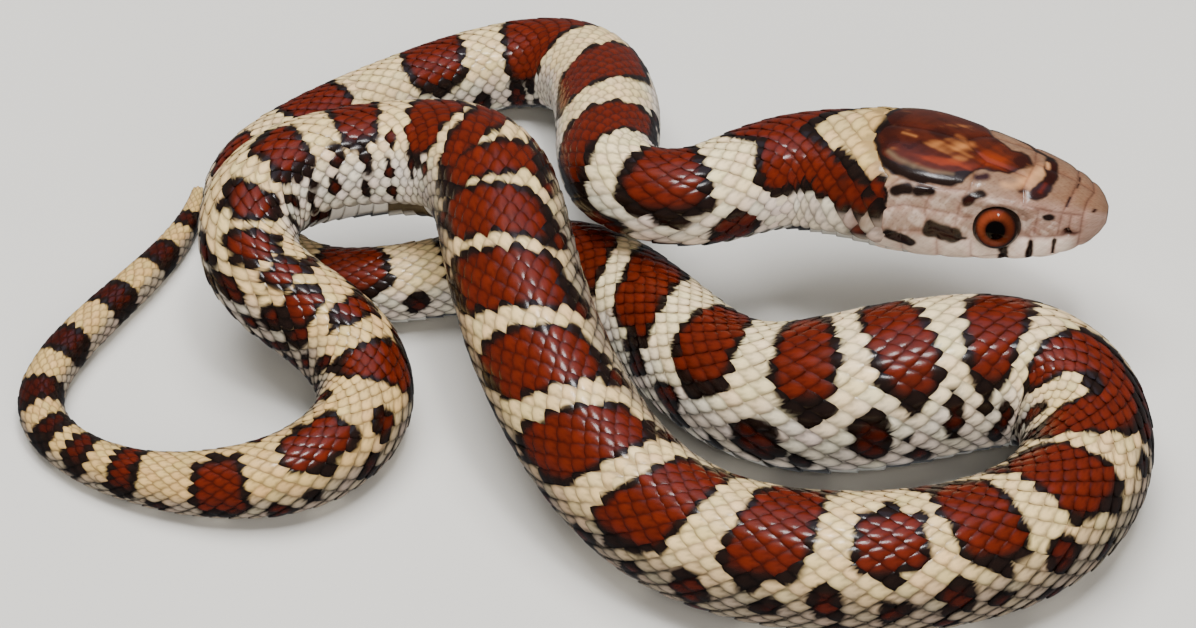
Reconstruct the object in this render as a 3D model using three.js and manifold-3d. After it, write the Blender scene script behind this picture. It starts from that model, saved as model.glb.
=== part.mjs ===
// A young milk snake lying in loops with its head raised, life size, as a still model.
// Millimetres, +Z up. The snake looks towards +X, and -Y is the side its loops are seen from.
// The origin is on the floor, under the middle of the whole animal.
import * as THREE from "three";
import { mergeVertices } from "three/addons/utils/BufferGeometryUtils.js";
import Module from "manifold-3d";

const wasm = await Module();
wasm.setup();

// Head
const SNOUT_TIP = new THREE.Vector3(29, -1.7, 9.2);
const SKULL_BACK = new THREE.Vector3(14.5, 2.0, 8.8);
const NECK_START = 3.2; // the neck's own length begins this far behind the skull
const HEAD_STATIONS = 24;
const BOXINESS = 2.4; // exponent of the head's superellipse sections, 2 is an ellipse
const EYE_RADIUS = 1.45;
const EYE_FROM_SNOUT = 5.95;
const EYE_SIDE = 2.9; // from the head's middle plane to the eye's centre
const EYE_HEIGHT = 0.15; // above the head's axis
const HEAD_ROLL = THREE.MathUtils.degToRad(8); // the snake's right side is held a little higher
const SNOUT_POINT = 0.15; // the middle of the snout stands this far before its first ring
const MOUTH_LENGTH = 12.3;
const MOUTH_DROP = 1.75; // the mouth line's level below the head's axis
const MOUTH_RISE = { snout: 0.35, lips: 0.2, sag: -0.5, corner: -0.1 }; // from that level, front to back
const LIPS_FROM_SNOUT = 1.2;
const SAG_AT = 0.6; // share of the mouth's length where its line hangs lowest

// Body
const PARTING = 0.3; // the thin cut between neighbouring lengths
const SIDES = 20;
const RING_STEP = 1.7;
const TAIL_TIP_RADIUS = 0.35;

// Colours
const CREAM = 0xcfc3a6;
const BRICK_RED = 0x8a2f18;
const IRIS_RED = 0xb5452a;

// The head's outline: distance from the snout, half width, height above and depth below the axis.
const HEAD_PROFILE = [
  [0.0, 0.55, 0.4, 0.55], // front of the snout scale
  [0.35, 1.25, 0.95, 1.1],
  [1.0, 2.0, 1.5, 1.65],
  [2.8, 2.95, 2.35, 2.55], // nostrils
  [5.8, 3.75, 3.2, 3.0], // eyes
  [10.0, 4.45, 3.95, 3.15],
  [12.0, 4.6, 4.05, 3.05], // back of the cheeks
  [13.7, 4.45, 3.9, 2.9],
  [16.0, 3.95, 3.45, 2.85], // nape
  [18.2, 3.45, 3.3, 3.1],
  [20.0, 3.3, 3.25, 3.2], // neck
];

// Guide points of the body's middle line, from the neck to the tail tip: x, y, z and the body's radius.
// The line is the uniform cubic B-spline that they pull, and the first three carry on the head's axis.
const GUIDE_STEP = 4.5;
const headward = SNOUT_TIP.clone().sub(SKULL_BACK).normalize();
const onHeadAxis = (behind, radius) => {
  const p = SKULL_BACK.clone().addScaledVector(headward, -behind);
  return [p.x, p.y, p.z, radius];
};
const GUIDES = [
  onHeadAxis(-GUIDE_STEP, 3.55),
  onHeadAxis(0, 3.4),
  onHeadAxis(GUIDE_STEP, 3.25),
  // the raised neck turns away from the viewer over the trunk
  [5.5, -1.1, 9.1, 2.8],
  [0.0, 1.4, 8.8, 2.6],
  [0.9, 9.0, 6.6, 3.2],
  [0.0, 19.9, 3.2, 3.0],
  // far side of the loops, on the floor
  [-6.5, 21.1, 2.4, 2.6],
  [-18.0, 14.1, 2.4, 2.35],
  [-23.0, 8.5, 2.2, 2.35],
  // back under the arch
  [-18.0, -1.5, 2.2, 2.3],
  [-8.5, 1.0, 2.1, 2.25],
  [0.5, 2.5, 2.9, 3.0],
  // the stout middle of the body
  [6.5, -11.5, 3.5, 3.55],
  [15.0, -12.0, 4.7, 4.85],
  [24.5, -8.1, 4.3, 4.15],
  // the tight turn on the right
  [28.5, -13.8, 3.3, 3.45],
  [24.0, -23.0, 3.6, 3.85],
  // the front length
  [11.0, -25.0, 3.8, 3.75],
  [1.0, -20.0, 3.2, 3.65],
  // up and over the first half of the trunk
  [-5.0, -8.5, 9.0, 3.7],
  [-5.5, 1.0, 10.6, 3.6],
  [-10.5, 5.0, 8.1, 3.35],
  [-20.0, 2.0, 9.2, 3.05],
  // down from the arch
  [-20.5, -4.5, 7.0, 2.65],
  [-14.6, -6.0, 4.3, 2.95],
  [-12.0, -10.6, 2.4, 2.65],
  [-16.5, -17.0, 2.4, 2.45],
  // the tail, curling back along the left side
  [-27.0, -15.5, 1.1, 1.25],
  [-33.5, -9.5, 1.2, 1.3],
  [-29.0, -1.0, 1.1, 1.25],
  [-22.0, 9.5, 0.6, 0.75],
  [-29.0, 28.0, -1.8, -1.8],
];

// Where each length of the body ends, as a distance behind the skull.
const LENGTHS = [
  ["neck", 20],
  ["trunk_1", 38],
  ["trunk_2", 56],
  ["trunk_3", 72],
  ["trunk_4", 88],
  ["trunk_5", 104],
  ["trunk_6", 117],
  ["trunk_7", 130],
  ["trunk_8", 147],
  ["trunk_9", 164],
  ["trunk_10", 179],
  ["trunk_11", 193],
  ["trunk_12", 207],
  ["tail_1", 221],
  ["tail_2", 236],
  ["tail_3", Infinity],
];

// The middle line, as a three.js curve that also gives the body's radius.
class BodyLine extends THREE.Curve {
  constructor() {
    super();
    this.arcLengthDivisions = 3000;
    this.spans = GUIDES.length - 3;
  }

  blend(t, axis) {
    const at = t * this.spans;
    const first = Math.min(Math.floor(at), this.spans - 1);
    const x = at - first;
    const pull = [(1 - x) ** 3, 3 * x ** 3 - 6 * x ** 2 + 4, 1 + 3 * x + 3 * x ** 2 - 3 * x ** 3, x ** 3];
    return pull.reduce((sum, w, i) => sum + (w * GUIDES[first + i][axis]) / 6, 0);
  }

  getPoint(t, target = new THREE.Vector3()) {
    return target.set(this.blend(t, 0), this.blend(t, 1), this.blend(t, 2));
  }

  radiusAt(u) {
    return Math.max(TAIL_TIP_RADIUS, this.blend(this.getUtoTmapping(u), 3));
  }
}

const line = new BodyLine();
const bodyLength = line.getLength();

// A closed skin over a row of rings with the same number of points, each end closed by a point.
function closedLoft(rings, startPoint, endPoint) {
  const count = rings[0].length;
  const points = [startPoint, ...rings.flat(), endPoint];
  const faces = [];
  const at = (ring, i) => 1 + ring * count + (i % count);
  for (let i = 0; i < count; i++) {
    faces.push(0, at(0, i + 1), at(0, i));
    faces.push(points.length - 1, at(rings.length - 1, i), at(rings.length - 1, i + 1));
  }
  for (let r = 0; r + 1 < rings.length; r++) {
    for (let i = 0; i < count; i++) {
      faces.push(at(r, i), at(r, i + 1), at(r + 1, i + 1));
      faces.push(at(r, i), at(r + 1, i + 1), at(r + 1, i));
    }
  }
  const geometry = new THREE.BufferGeometry().setFromPoints(points);
  geometry.setIndex(faces);
  return geometry;
}

// A ring across an axis. The section gives the sideways and upward reach for an angle from straight down.
// What would sink into the floor is laid flat on it.
function ring(centre, tailward, section, roll = 0) {
  const side = new THREE.Vector3(0, 0, 1).cross(tailward).normalize().applyAxisAngle(tailward, roll);
  const up = new THREE.Vector3().crossVectors(tailward, side).normalize();
  return Array.from({ length: SIDES }, (_, i) => {
    const [sideways, upwards] = section(((i + 0.5) / SIDES) * 2 * Math.PI);
    const p = centre.clone().addScaledVector(side, sideways).addScaledVector(up, upwards);
    p.z = Math.max(p.z, 0);
    return p;
  });
}

// One length of the body, from one distance behind the skull to another.
function bodyGeometry(from, to) {
  const steps = Math.max(2, Math.round((to - from) / RING_STEP));
  const outward = 1 / Math.cos(Math.PI / SIDES);
  const rings = [];
  for (let k = 0; k <= steps; k++) {
    const u = (from + ((to - from) * k) / steps) / bodyLength;
    const radius = line.radiusAt(u) * outward;
    const tailward = line.getTangentAt(u);
    rings.push(ring(line.getPointAt(u), tailward, (a) => [radius * Math.sin(a), -radius * Math.cos(a)]));
  }
  return closedLoft(rings, line.getPointAt(from / bodyLength), line.getPointAt(to / bodyLength));
}

// One value of the head's outline at a distance from the snout, eased between the profile's rows.
function headProfile(distance, column) {
  const next = HEAD_PROFILE.findIndex((row) => row[0] > distance);
  if (next < 0) return HEAD_PROFILE.at(-1)[column];
  const before = HEAD_PROFILE[Math.max(next - 2, 0)];
  const a = HEAD_PROFILE[next - 1];
  const b = HEAD_PROFILE[next];
  const after = HEAD_PROFILE[Math.min(next + 1, HEAD_PROFILE.length - 1)];
  const span = b[0] - a[0];
  const x = (distance - a[0]) / span;
  const slopeA = (span * (b[column] - before[column])) / (b[0] - before[0]);
  const slopeB = (span * (after[column] - a[column])) / (after[0] - a[0]);
  return (
    (2 * x ** 3 - 3 * x ** 2 + 1) * a[column] +
    (x ** 3 - 2 * x ** 2 + x) * slopeA +
    (3 * x ** 2 - 2 * x ** 3) * b[column] +
    (x ** 3 - x ** 2) * slopeB
  );
}

// The middle line from the snout back: the head's straight axis, and behind the skull the body's line.
const headLength = SNOUT_TIP.distanceTo(SKULL_BACK);
function middle(distance) {
  const behind = distance - headLength;
  if (behind <= 0) return [SKULL_BACK.clone().addScaledVector(headward, -behind), headward.clone().negate()];
  return [line.getPointAt(behind / bodyLength), line.getTangentAt(behind / bodyLength)];
}

// How much of a section is head: 1 as far back as the skull reaches, 0 at the neck.
function headShare(distance) {
  return 1 - THREE.MathUtils.smoothstep(distance, headLength - 1, headLength + NECK_START);
}

// The whole head in one piece, blunt at the snout and ending at the neck.
function headGeometry() {
  const length = headLength + NECK_START - PARTING / 2;
  const rings = [];
  for (let k = 0; k <= HEAD_STATIONS; k++) {
    const distance = length * (k / HEAD_STATIONS) ** 1.5;
    const [centre, tailward] = middle(distance);
    const [half, top, bottom] = [1, 2, 3].map((column) => headProfile(distance, column));
    const reach = (value, size) => Math.sign(value) * size * Math.abs(value) ** (2 / BOXINESS);
    const section = (a) => [reach(Math.sin(a), half), reach(-Math.cos(a), Math.cos(a) > 0 ? bottom : top)];
    rings.push(ring(centre, tailward, section, HEAD_ROLL * headShare(distance)));
  }
  return closedLoft(rings, middle(0)[0].addScaledVector(headward, SNOUT_POINT), middle(length)[0]);
}

// A solid for cutting, from a closed three.js geometry.
function solid(geometry) {
  const bare = new THREE.BufferGeometry().setAttribute("position", geometry.getAttribute("position"));
  bare.setIndex(geometry.index);
  const merged = mergeVertices(bare, 1e-4);
  const vertProperties = new Float32Array(merged.attributes.position.array);
  return new wasm.Manifold(new wasm.Mesh({ numProp: 3, vertProperties, triVerts: new Uint32Array(merged.index.array) }));
}

// The three.js geometry of a cut solid.
function geometryOf(cut) {
  const { vertProperties, triVerts } = cut.getMesh();
  const geometry = new THREE.BufferGeometry();
  geometry.setAttribute("position", new THREE.BufferAttribute(vertProperties, 3));
  geometry.setIndex(new THREE.BufferAttribute(triVerts, 1));
  return geometry;
}

// The head's own frame: x towards the snout, y to the snake's left, z up.
const headFrame = new THREE.Matrix4();
{
  const left = new THREE.Vector3(0, 0, 1).cross(headward).normalize().applyAxisAngle(headward, -HEAD_ROLL);
  const crown = new THREE.Vector3().crossVectors(headward, left);
  headFrame.makeBasis(headward, left, crown).setPosition(SNOUT_TIP);
}

// An eye's centre, for side +1 on the left and -1 on the right.
function eyeCentre(side) {
  return new THREE.Vector3(-EYE_FROM_SNOUT, side * EYE_SIDE, EYE_HEIGHT).applyMatrix4(headFrame);
}

function eyeGeometry(side, radius) {
  const centre = eyeCentre(side);
  return new THREE.SphereGeometry(radius, 16, 12).translate(centre.x, centre.y, centre.z);
}

// The block under the mouth line, whose faces stand back from the line by half the parting.
function jawBlock(standBack) {
  const ahead = 3; // clear of the snout
  const below = -8; // clear of the chin
  const wide = 16; // clear of the cheeks
  const level = (rise) => rise - MOUTH_DROP - standBack;
  const corner = standBack - MOUTH_LENGTH;
  const profile = new THREE.Shape();
  profile.moveTo(ahead, level(MOUTH_RISE.snout));
  profile.lineTo(-LIPS_FROM_SNOUT, level(MOUTH_RISE.lips));
  profile.quadraticCurveTo(-MOUTH_LENGTH * SAG_AT, level(MOUTH_RISE.sag), corner, level(MOUTH_RISE.corner));
  profile.lineTo(corner, below);
  profile.lineTo(ahead, below);
  const block = new THREE.ExtrudeGeometry(profile, { depth: wide, bevelEnabled: false, curveSegments: 8 });
  block.translate(0, 0, -wide / 2).rotateX(Math.PI / 2);
  return block.applyMatrix4(headFrame);
}

function meshOf(name, geometry, colour, roughness) {
  const mesh = new THREE.Mesh(geometry, new THREE.MeshStandardMaterial({ color: colour, roughness, metalness: 0 }));
  mesh.name = name;
  return mesh;
}

// The head: the skull with the upper jaw, the lower jaw under a thin cut, and the two eyes in their sockets.
function buildHead() {
  const whole = solid(headGeometry());
  const sockets = [1, -1].map((side) => solid(eyeGeometry(side, EYE_RADIUS + PARTING)));
  const upper = sockets.reduce((rest, socket) => rest.subtract(socket), whole).subtract(solid(jawBlock(-PARTING / 2)));
  const lower = whole.intersect(solid(jawBlock(PARTING / 2)));
  const head = new THREE.Group();
  head.add(
    meshOf("head", geometryOf(upper), BRICK_RED, 0.35),
    meshOf("lower_jaw", geometryOf(lower), CREAM, 0.4),
    meshOf("eye_left", eyeGeometry(1, EYE_RADIUS), IRIS_RED, 0.05),
    meshOf("eye_right", eyeGeometry(-1, EYE_RADIUS), IRIS_RED, 0.05),
  );
  return head;
}

// The body, parted into its lengths by thin cuts.
function buildBody() {
  const body = new THREE.Group();
  let start = NECK_START;
  for (const [name, end] of LENGTHS) {
    const last = end > bodyLength;
    const geometry = bodyGeometry(start + PARTING / 2, last ? bodyLength : end - PARTING / 2);
    body.add(meshOf(name, geometry, CREAM, 0.4));
    start = end;
  }
  return body;
}

const snake = new THREE.Group();
snake.name = "milk_snake";
snake.add(buildHead(), buildBody());

// The floor under the middle of the animal becomes the origin.
const box = new THREE.Box3().setFromObject(snake);
snake.position.set(-(box.min.x + box.max.x) / 2, -(box.min.y + box.max.y) / 2, 0);

export default snake;
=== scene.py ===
"""Looks of a young milk snake: one skin, with scales, head plates and belly plates over it."""

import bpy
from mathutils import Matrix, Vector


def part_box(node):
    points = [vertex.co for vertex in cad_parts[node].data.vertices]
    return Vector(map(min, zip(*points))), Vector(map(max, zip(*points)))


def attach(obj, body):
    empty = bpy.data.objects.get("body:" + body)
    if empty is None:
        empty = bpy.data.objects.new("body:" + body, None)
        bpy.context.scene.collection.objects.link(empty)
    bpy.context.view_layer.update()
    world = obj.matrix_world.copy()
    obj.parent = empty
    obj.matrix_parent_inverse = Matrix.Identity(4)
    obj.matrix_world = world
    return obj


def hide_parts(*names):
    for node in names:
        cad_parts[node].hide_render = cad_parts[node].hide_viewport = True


bl_info = {
    "name": "Milk Snake",
    "version": (1, 0, 0),
    "blender": (4, 5, 0),
    "location": "View3D > Sidebar > Milk Snake",
    "description": "Builds the skin, scales, plates and eyes of a young milk snake round its solids",
    "category": "Add Mesh",
}

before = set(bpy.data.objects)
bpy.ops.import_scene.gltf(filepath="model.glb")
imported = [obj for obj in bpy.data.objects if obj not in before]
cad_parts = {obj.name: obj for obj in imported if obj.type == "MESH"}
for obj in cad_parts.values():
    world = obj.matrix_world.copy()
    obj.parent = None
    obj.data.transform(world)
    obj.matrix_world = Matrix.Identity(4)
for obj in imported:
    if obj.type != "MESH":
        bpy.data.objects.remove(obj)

import bpy
import numpy as np
from bpy.props import FloatProperty, FloatVectorProperty, PointerProperty
from mathutils import Vector

MM = 0.001
FLESH = ["head", "lower_jaw", "neck"]
FLESH += [f"trunk_{n}" for n in range(1, 13)]
FLESH += [f"tail_{n}" for n in range(1, 4)]

# The middle line, in millimetres, as the solids have it: the head's axis, then guides of x, y, z and radius.
SNOUT_TIP = np.array([29.0, -1.7, 9.2])
SKULL_BACK = np.array([14.5, 2.0, 8.8])
HEAD_LENGTH = np.linalg.norm(SNOUT_TIP - SKULL_BACK)
HEADWARD = (SNOUT_TIP - SKULL_BACK) / HEAD_LENGTH
HEAD_ROLL = np.radians(8)
GUIDE_STEP = 4.5
GUIDES = np.array([
    [*(SKULL_BACK + GUIDE_STEP * HEADWARD), 3.55],
    [*SKULL_BACK, 3.4],
    [*(SKULL_BACK - GUIDE_STEP * HEADWARD), 3.25],
    # the raised neck turns away over the trunk
    [5.5, -1.1, 9.1, 2.8],
    [0.0, 1.4, 8.8, 2.6],
    [0.9, 9.0, 6.6, 3.2],
    [0.0, 19.9, 3.2, 3.0],
    # far side of the loops
    [-6.5, 21.1, 2.4, 2.6],
    [-18.0, 14.1, 2.4, 2.35],
    [-23.0, 8.5, 2.2, 2.35],
    # back under the arch
    [-18.0, -1.5, 2.2, 2.3],
    [-8.5, 1.0, 2.1, 2.25],
    [0.5, 2.5, 2.9, 3.0],
    # the stout middle
    [6.5, -11.5, 3.5, 3.55],
    [15.0, -12.0, 4.7, 4.85],
    [24.5, -8.1, 4.3, 4.15],
    # the tight turn on the right
    [28.5, -13.8, 3.3, 3.45],
    [24.0, -23.0, 3.6, 3.85],
    # the front length
    [11.0, -25.0, 3.8, 3.75],
    [1.0, -20.0, 3.2, 3.65],
    # up and over the first half
    [-5.0, -8.5, 9.0, 3.7],
    [-5.5, 1.0, 10.6, 3.6],
    [-10.5, 5.0, 8.1, 3.35],
    [-20.0, 2.0, 9.2, 3.05],
    # down from the arch
    [-20.5, -4.5, 7.0, 2.65],
    [-14.6, -6.0, 4.3, 2.95],
    [-12.0, -10.6, 2.4, 2.65],
    [-16.5, -17.0, 2.4, 2.45],
    # the tail
    [-27.0, -15.5, 1.1, 1.25],
    [-33.5, -9.5, 1.2, 1.3],
    [-29.0, -1.0, 1.1, 1.25],
    [-22.0, 9.5, 0.6, 0.75],
    [-29.0, 28.0, -1.8, -1.8],
])
TAIL_TIP_RADIUS = 0.35

# The head's outline: distance from the snout, half width, height above and depth below the axis.
HEAD_PROFILE = np.array([
    [0.0, 0.55, 0.4, 0.55],
    [0.35, 1.25, 0.95, 1.1],
    [1.0, 2.0, 1.5, 1.65],
    [2.8, 2.95, 2.35, 2.55],
    [5.8, 3.75, 3.2, 3.0],
    [10.0, 4.45, 3.95, 3.15],
    [12.0, 4.6, 4.05, 3.05],
    [13.7, 4.45, 3.9, 2.9],
    [16.0, 3.95, 3.45, 2.85],
    [18.2, 3.45, 3.3, 3.1],
    [20.0, 3.3, 3.25, 3.2],
])
BOXINESS = 2.4  # 2 would be an ellipse, and more is squarer
NECK_START = 16.0
HEAD_END = 20.0
LEAN_START = 12.0  # from here the markings and scales lean over with the back, and fully from the head's end
EYE_FROM_SNOUT = 5.95
EYE_SIDE = 2.9
EYE_HEIGHT = 0.15
PUPIL_AXIS = (0.11, 1.0, 0.27)  # forward, sideways and up, in the head's own directions

# The coat thins towards the tail's tip, where the body's radius is under these.
FULL_DEPTH_RADIUS = 1.6
FULL_LIFT_RADIUS = 1.2

# How far the back leans over to the snake's right, in degrees, at distances from the snout.
LEAN = np.array([
    [0, 0], [17, 3], [26, 12], [40, 5], [52, 8], [60, 0], [100, -5], [127, -8], [135, 4], [142, 8],
    [150, 14], [160, 15], [170, 24], [180, 22], [187, 10], [192, -6], [196, -12], [204, -12], [213, -10],
    [220, 12], [232, 24], [241, 8], [267, 0],
])

# Red saddles down the back. Each row has the centre's distance from the snout and the half length in
# millimetres, the half span and its middle in degrees from the crown, and the slant in millimetres a degree.
SADDLES = np.array([
    [26.0, 1.9, 63, 0, 0], [32.2, 2.05, 88, 3, -0.02], [40.3, 2.9, 67, 2, -0.03], [49.8, 2.85, 62, 6, 0.005],
    [57.3, 2.0, 56, 0, 0.01], [65.6, 2.1, 54, 0, 0], [72.3, 2.0, 52, 0, 0.01], [78.9, 2.0, 52, 0, 0],
    [85.2, 2.0, 54, 0, -0.01], [92.2, 2.0, 52, 0, 0], [99.8, 1.9, 53, 0, -0.03], [105.2, 2.1, 57, 0, -0.035],
    [111.6, 2.0, 56, 0, -0.012], [117.1, 1.6, 54, 0, 0], [121.8, 1.75, 52, 0, 0], [127.1, 1.8, 52, 0, 0.02],
    # these three join into a horseshoe on the tight turn
    [132.2, 1.75, 50, -4, 0.03], [136.9, 1.75, 50, -4, -0.035], [134.6, 2.7, 21, 22, 0],
    [142.0, 2.0, 49, 0, -0.012], [147.6, 1.85, 46, 0, -0.01], [152.25, 1.85, 27, 13, 0],
    [157.8, 2.0, 52, 0, 0.012], [164.0, 2.05, 56, 6, 0.02], [169.8, 1.95, 56, 6, 0.02],
    [175.1, 1.95, 54, 2, 0.015], [180.0, 1.8, 56, 2, 0.02], [184.1, 1.65, 52, 0, 0.02],
    [187.3, 1.15, 56, -5, 0], [189.9, 1.15, 50, 0, -0.03], [193.2, 1.75, 42, 18, -0.01],
    [198.5, 1.45, 42, 5, 0], [203.2, 1.25, 34, 20, 0], [206.9, 1.05, 32, 22, 0], [209.3, 0.95, 28, 0, 0],
    [211.3, 0.8, 26, -3, 0], [213.3, 1.0, 26, -26, 0], [215.7, 0.85, 36, 12, 0], [219.2, 1.3, 60, 8, 0],
    [225.6, 1.9, 32, 2, 0], [230.7, 1.4, 57, 33, 0], [236.1, 0.9, 85, 0, 0], [239.2, 0.75, 85, 0, 0],
    [241.7, 0.7, 85, 0, 0], [244.9, 1.1, 92, 0, 0], [249.3, 1.1, 95, 0, 0], [254.0, 1.15, 98, 0, 0],
    [258.8, 1.05, 104, 0, 0], [262.6, 0.8, 115, 0, 0],
])
BLACK_TAIL_SADDLES = 235.0  # past here the saddles are too small to show much red
SADDLE_SLACK = 4.0  # how far past its half length a slanted saddle can still reach

# Large dark spots of the flanks: distance from the snout and half length in millimetres, angle from the crown
# and half span in degrees.
FLANK_SPOTS = np.array([
    [23.2, 1.2, 92, 26], [28.5, 1.45, 104, 26], [44.0, 0.3, 100, 8], [54.9, 0.7, 92, 20],
    [137.9, 0.6, 57, 10], [144.4, 0.8, 58, 17], [149.3, 0.85, 67, 19], [152.4, 0.5, 74, 14],
    [155.2, 0.85, 67, 19], [161.4, 0.9, 78, 22], [167.0, 0.75, 92, 20], [172.8, 0.75, 86, 20],
    [178.0, 0.65, 84, 20], [182.3, 0.6, 80, 18], [111.0, 0.9, -79, 17], [113.3, 0.35, -98, 9],
    [115.2, 0.95, -81, 21], [119.7, 0.85, -77, 21], [121.4, 0.4, -80, 6], [123.8, 0.6, -66, 19],
    [127.4, 0.75, -76, 17], [131.0, 0.55, -84, 14],
    # narrow bars on the side of the rear coil
    [189.2, 0.45, 42, 10], [190.8, 0.5, 68, 9], [193.3, 0.45, 72, 14], [196.1, 0.45, 41, 11],
    [196.4, 0.42, 70, 16], [196.2, 0.4, 96, 9], [198.3, 0.38, 64, 15], [198.6, 0.36, 92, 11],
    [200.4, 0.45, 52, 14], [201.0, 0.42, 82, 15], [202.7, 0.38, 63, 14], [203.2, 0.4, 94, 11],
    [204.6, 0.5, 46, 13], [205.3, 0.45, 74, 15], [206.9, 0.5, 90, 16], [211.9, 0.55, 34, 24],
    # near side of the tail
    [222.3, 0.75, 41, 18], [223.9, 0.55, 78, 20], [226.6, 0.4, 74, 14], [228.1, 0.65, 86, 24],
    [234.1, 0.6, 86, 20],
])

# Dark spots lie between the saddles at these angles from the crown in degrees, at distances from the snout.
SPOT_ANGLES = np.array([
    [0, 86], [30, 86], [45, 78], [100, 75], [122, 72], [132, 62], [144, 51], [157, 52], [167, 62],
    [180, 58], [267, 60],
])

# Rows of drawn spots: whether they lie between the saddles or under them, degrees below the angle above,
# and the least and most of their half lengths in millimetres and half spans in degrees.
SPOT_ROWS = (
    (True, 0, (0.65, 0.9), (13, 18)), (False, 26, (0.45, 0.7), (8, 12)), (True, 46, (0.6, 0.9), (7, 11)),
)
SPOT_POWER = 2.4  # roundness of a spot, where 2 would be an ellipse, and more is squarer
SPOT_EDGE = 0.36  # width in millimetres of a spot's black edge
SPOT_REACH = 2.6  # no spot reaches this far along the body from its place

# Within this distance of one of FLANK_SPOTS no large spot is drawn, and in these stretches no small one.
PLACED_CLEARANCE = 1.7
PLACED_ONLY = ((0, 32), (186, 230))

# Width in millimetres of the saddles' black edges, at distances from the snout.
BLACK_EDGE = np.array([
    [16, 0.5], [28, 0.5], [36, 0.42], [98, 0.42], [128, 0.42], [136, 0.36], [204, 0.32], [228, 0.4],
    [240, 0.5],
])

# Between these distances the saddles narrow to rounded ends, which reach two degrees further, and elsewhere
# they are nearly square.
ROUND_SADDLES = (108, 130)
ROUND_POWER = 2.5
ROUND_EXTRA_SPAN = 2
SQUARE_POWER = 4.5

# How pale the ground of the back and of the flanks is, from 0 to 1, at distances from the snout: partly the
# ground's own paleness, partly painted light where the neck and the stout middle are whiter, and painted
# shade where the flanks are darker.
PALE_BACK = np.array([
    [12, 0.2], [18, 0.3], [22, 0.9], [30, 0.95], [35, 0.55], [60, 0.45], [96, 0.5], [102, 0.9], [126, 0.9],
    [136, 0.32], [204, 0.32], [215, 0.1],
])
PALE_FLANK = np.array([
    [30, 1], [60, 0.7], [100, 1], [128, 1], [140, 0.15], [186, 0.15], [192, 0.85], [208, 0.85], [216, 0.2],
])

# The first saddle sends an arm forward along each side of the nape, so that the nape keeps a pale wedge.
NAPE_SADDLE = {
    "front": 17.3, "back": 20.8, "span": 69, "slope": 0.078,
    "arm": [(12.9, 69), (13.9, 69.5), (16.0, 60)], "arm_reach": 0.95,
}

# Black scales in the arm's red end.
NAPE_SPOTS = ([(12.3, 76), (12.5, 78)], [(12.9, 66), (13.3, 68)], [(14.6, 60), (15.0, 59)])

# Millimetres round the skin for each degree from the crown, on the head.
MM_PER_DEGREE = 0.062

# The cap's outline on the head, as distance from the snout in millimetres and angle to the snake's right.
CAP = [
    (4.35, 3), (4.7, 11), (5.2, 16), (5.6, 25), (6.4, 28), (7.2, 28), (7.6, 36), (8.0, 47), (8.6, 52),
    (9.6, 53.5), (10.6, 52.5), (11.9, 49), (12.6, 43), (13.05, 31), (13.4, 18), (13.75, 5), (13.4, -8),
    (13.1, -20), (12.7, -34), (11.8, -44), (10.6, -49), (9.5, -51), (8.5, -50), (8.0, -46), (7.5, -33),
    (7.2, -22), (6.7, -15), (6.2, -9), (5.8, -5), (5.3, -7), (4.8, -7),
]

# Clouds in the cap: how strong, then distance from the snout and reach along it in millimetres, and angle to
# the snake's right and reach round in degrees.
CAP_DARK = (
    (0.9, 12.7, 0.8, 2, 26), (0.8, 9.7, 0.7, 0, 6), (0.7, 10.9, 0.9, 18, 7), (1.5, 4.95, 0.5, 4, 9),
    (0.6, 6.8, 0.4, -10, 6), (0.5, 7.9, 1.2, -30, 9),
)
CAP_AMBER = ((0.95, 8.5, 0.8, 12, 12), (0.6, 9.8, 0.6, 13, 7), (0.5, 8.8, 0.7, -13, 6))
CAP_GLOW = ((1.0, 9.4, 1.9, 29, 5), (1.0, 6.6, 1.1, 12, 15))

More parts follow.
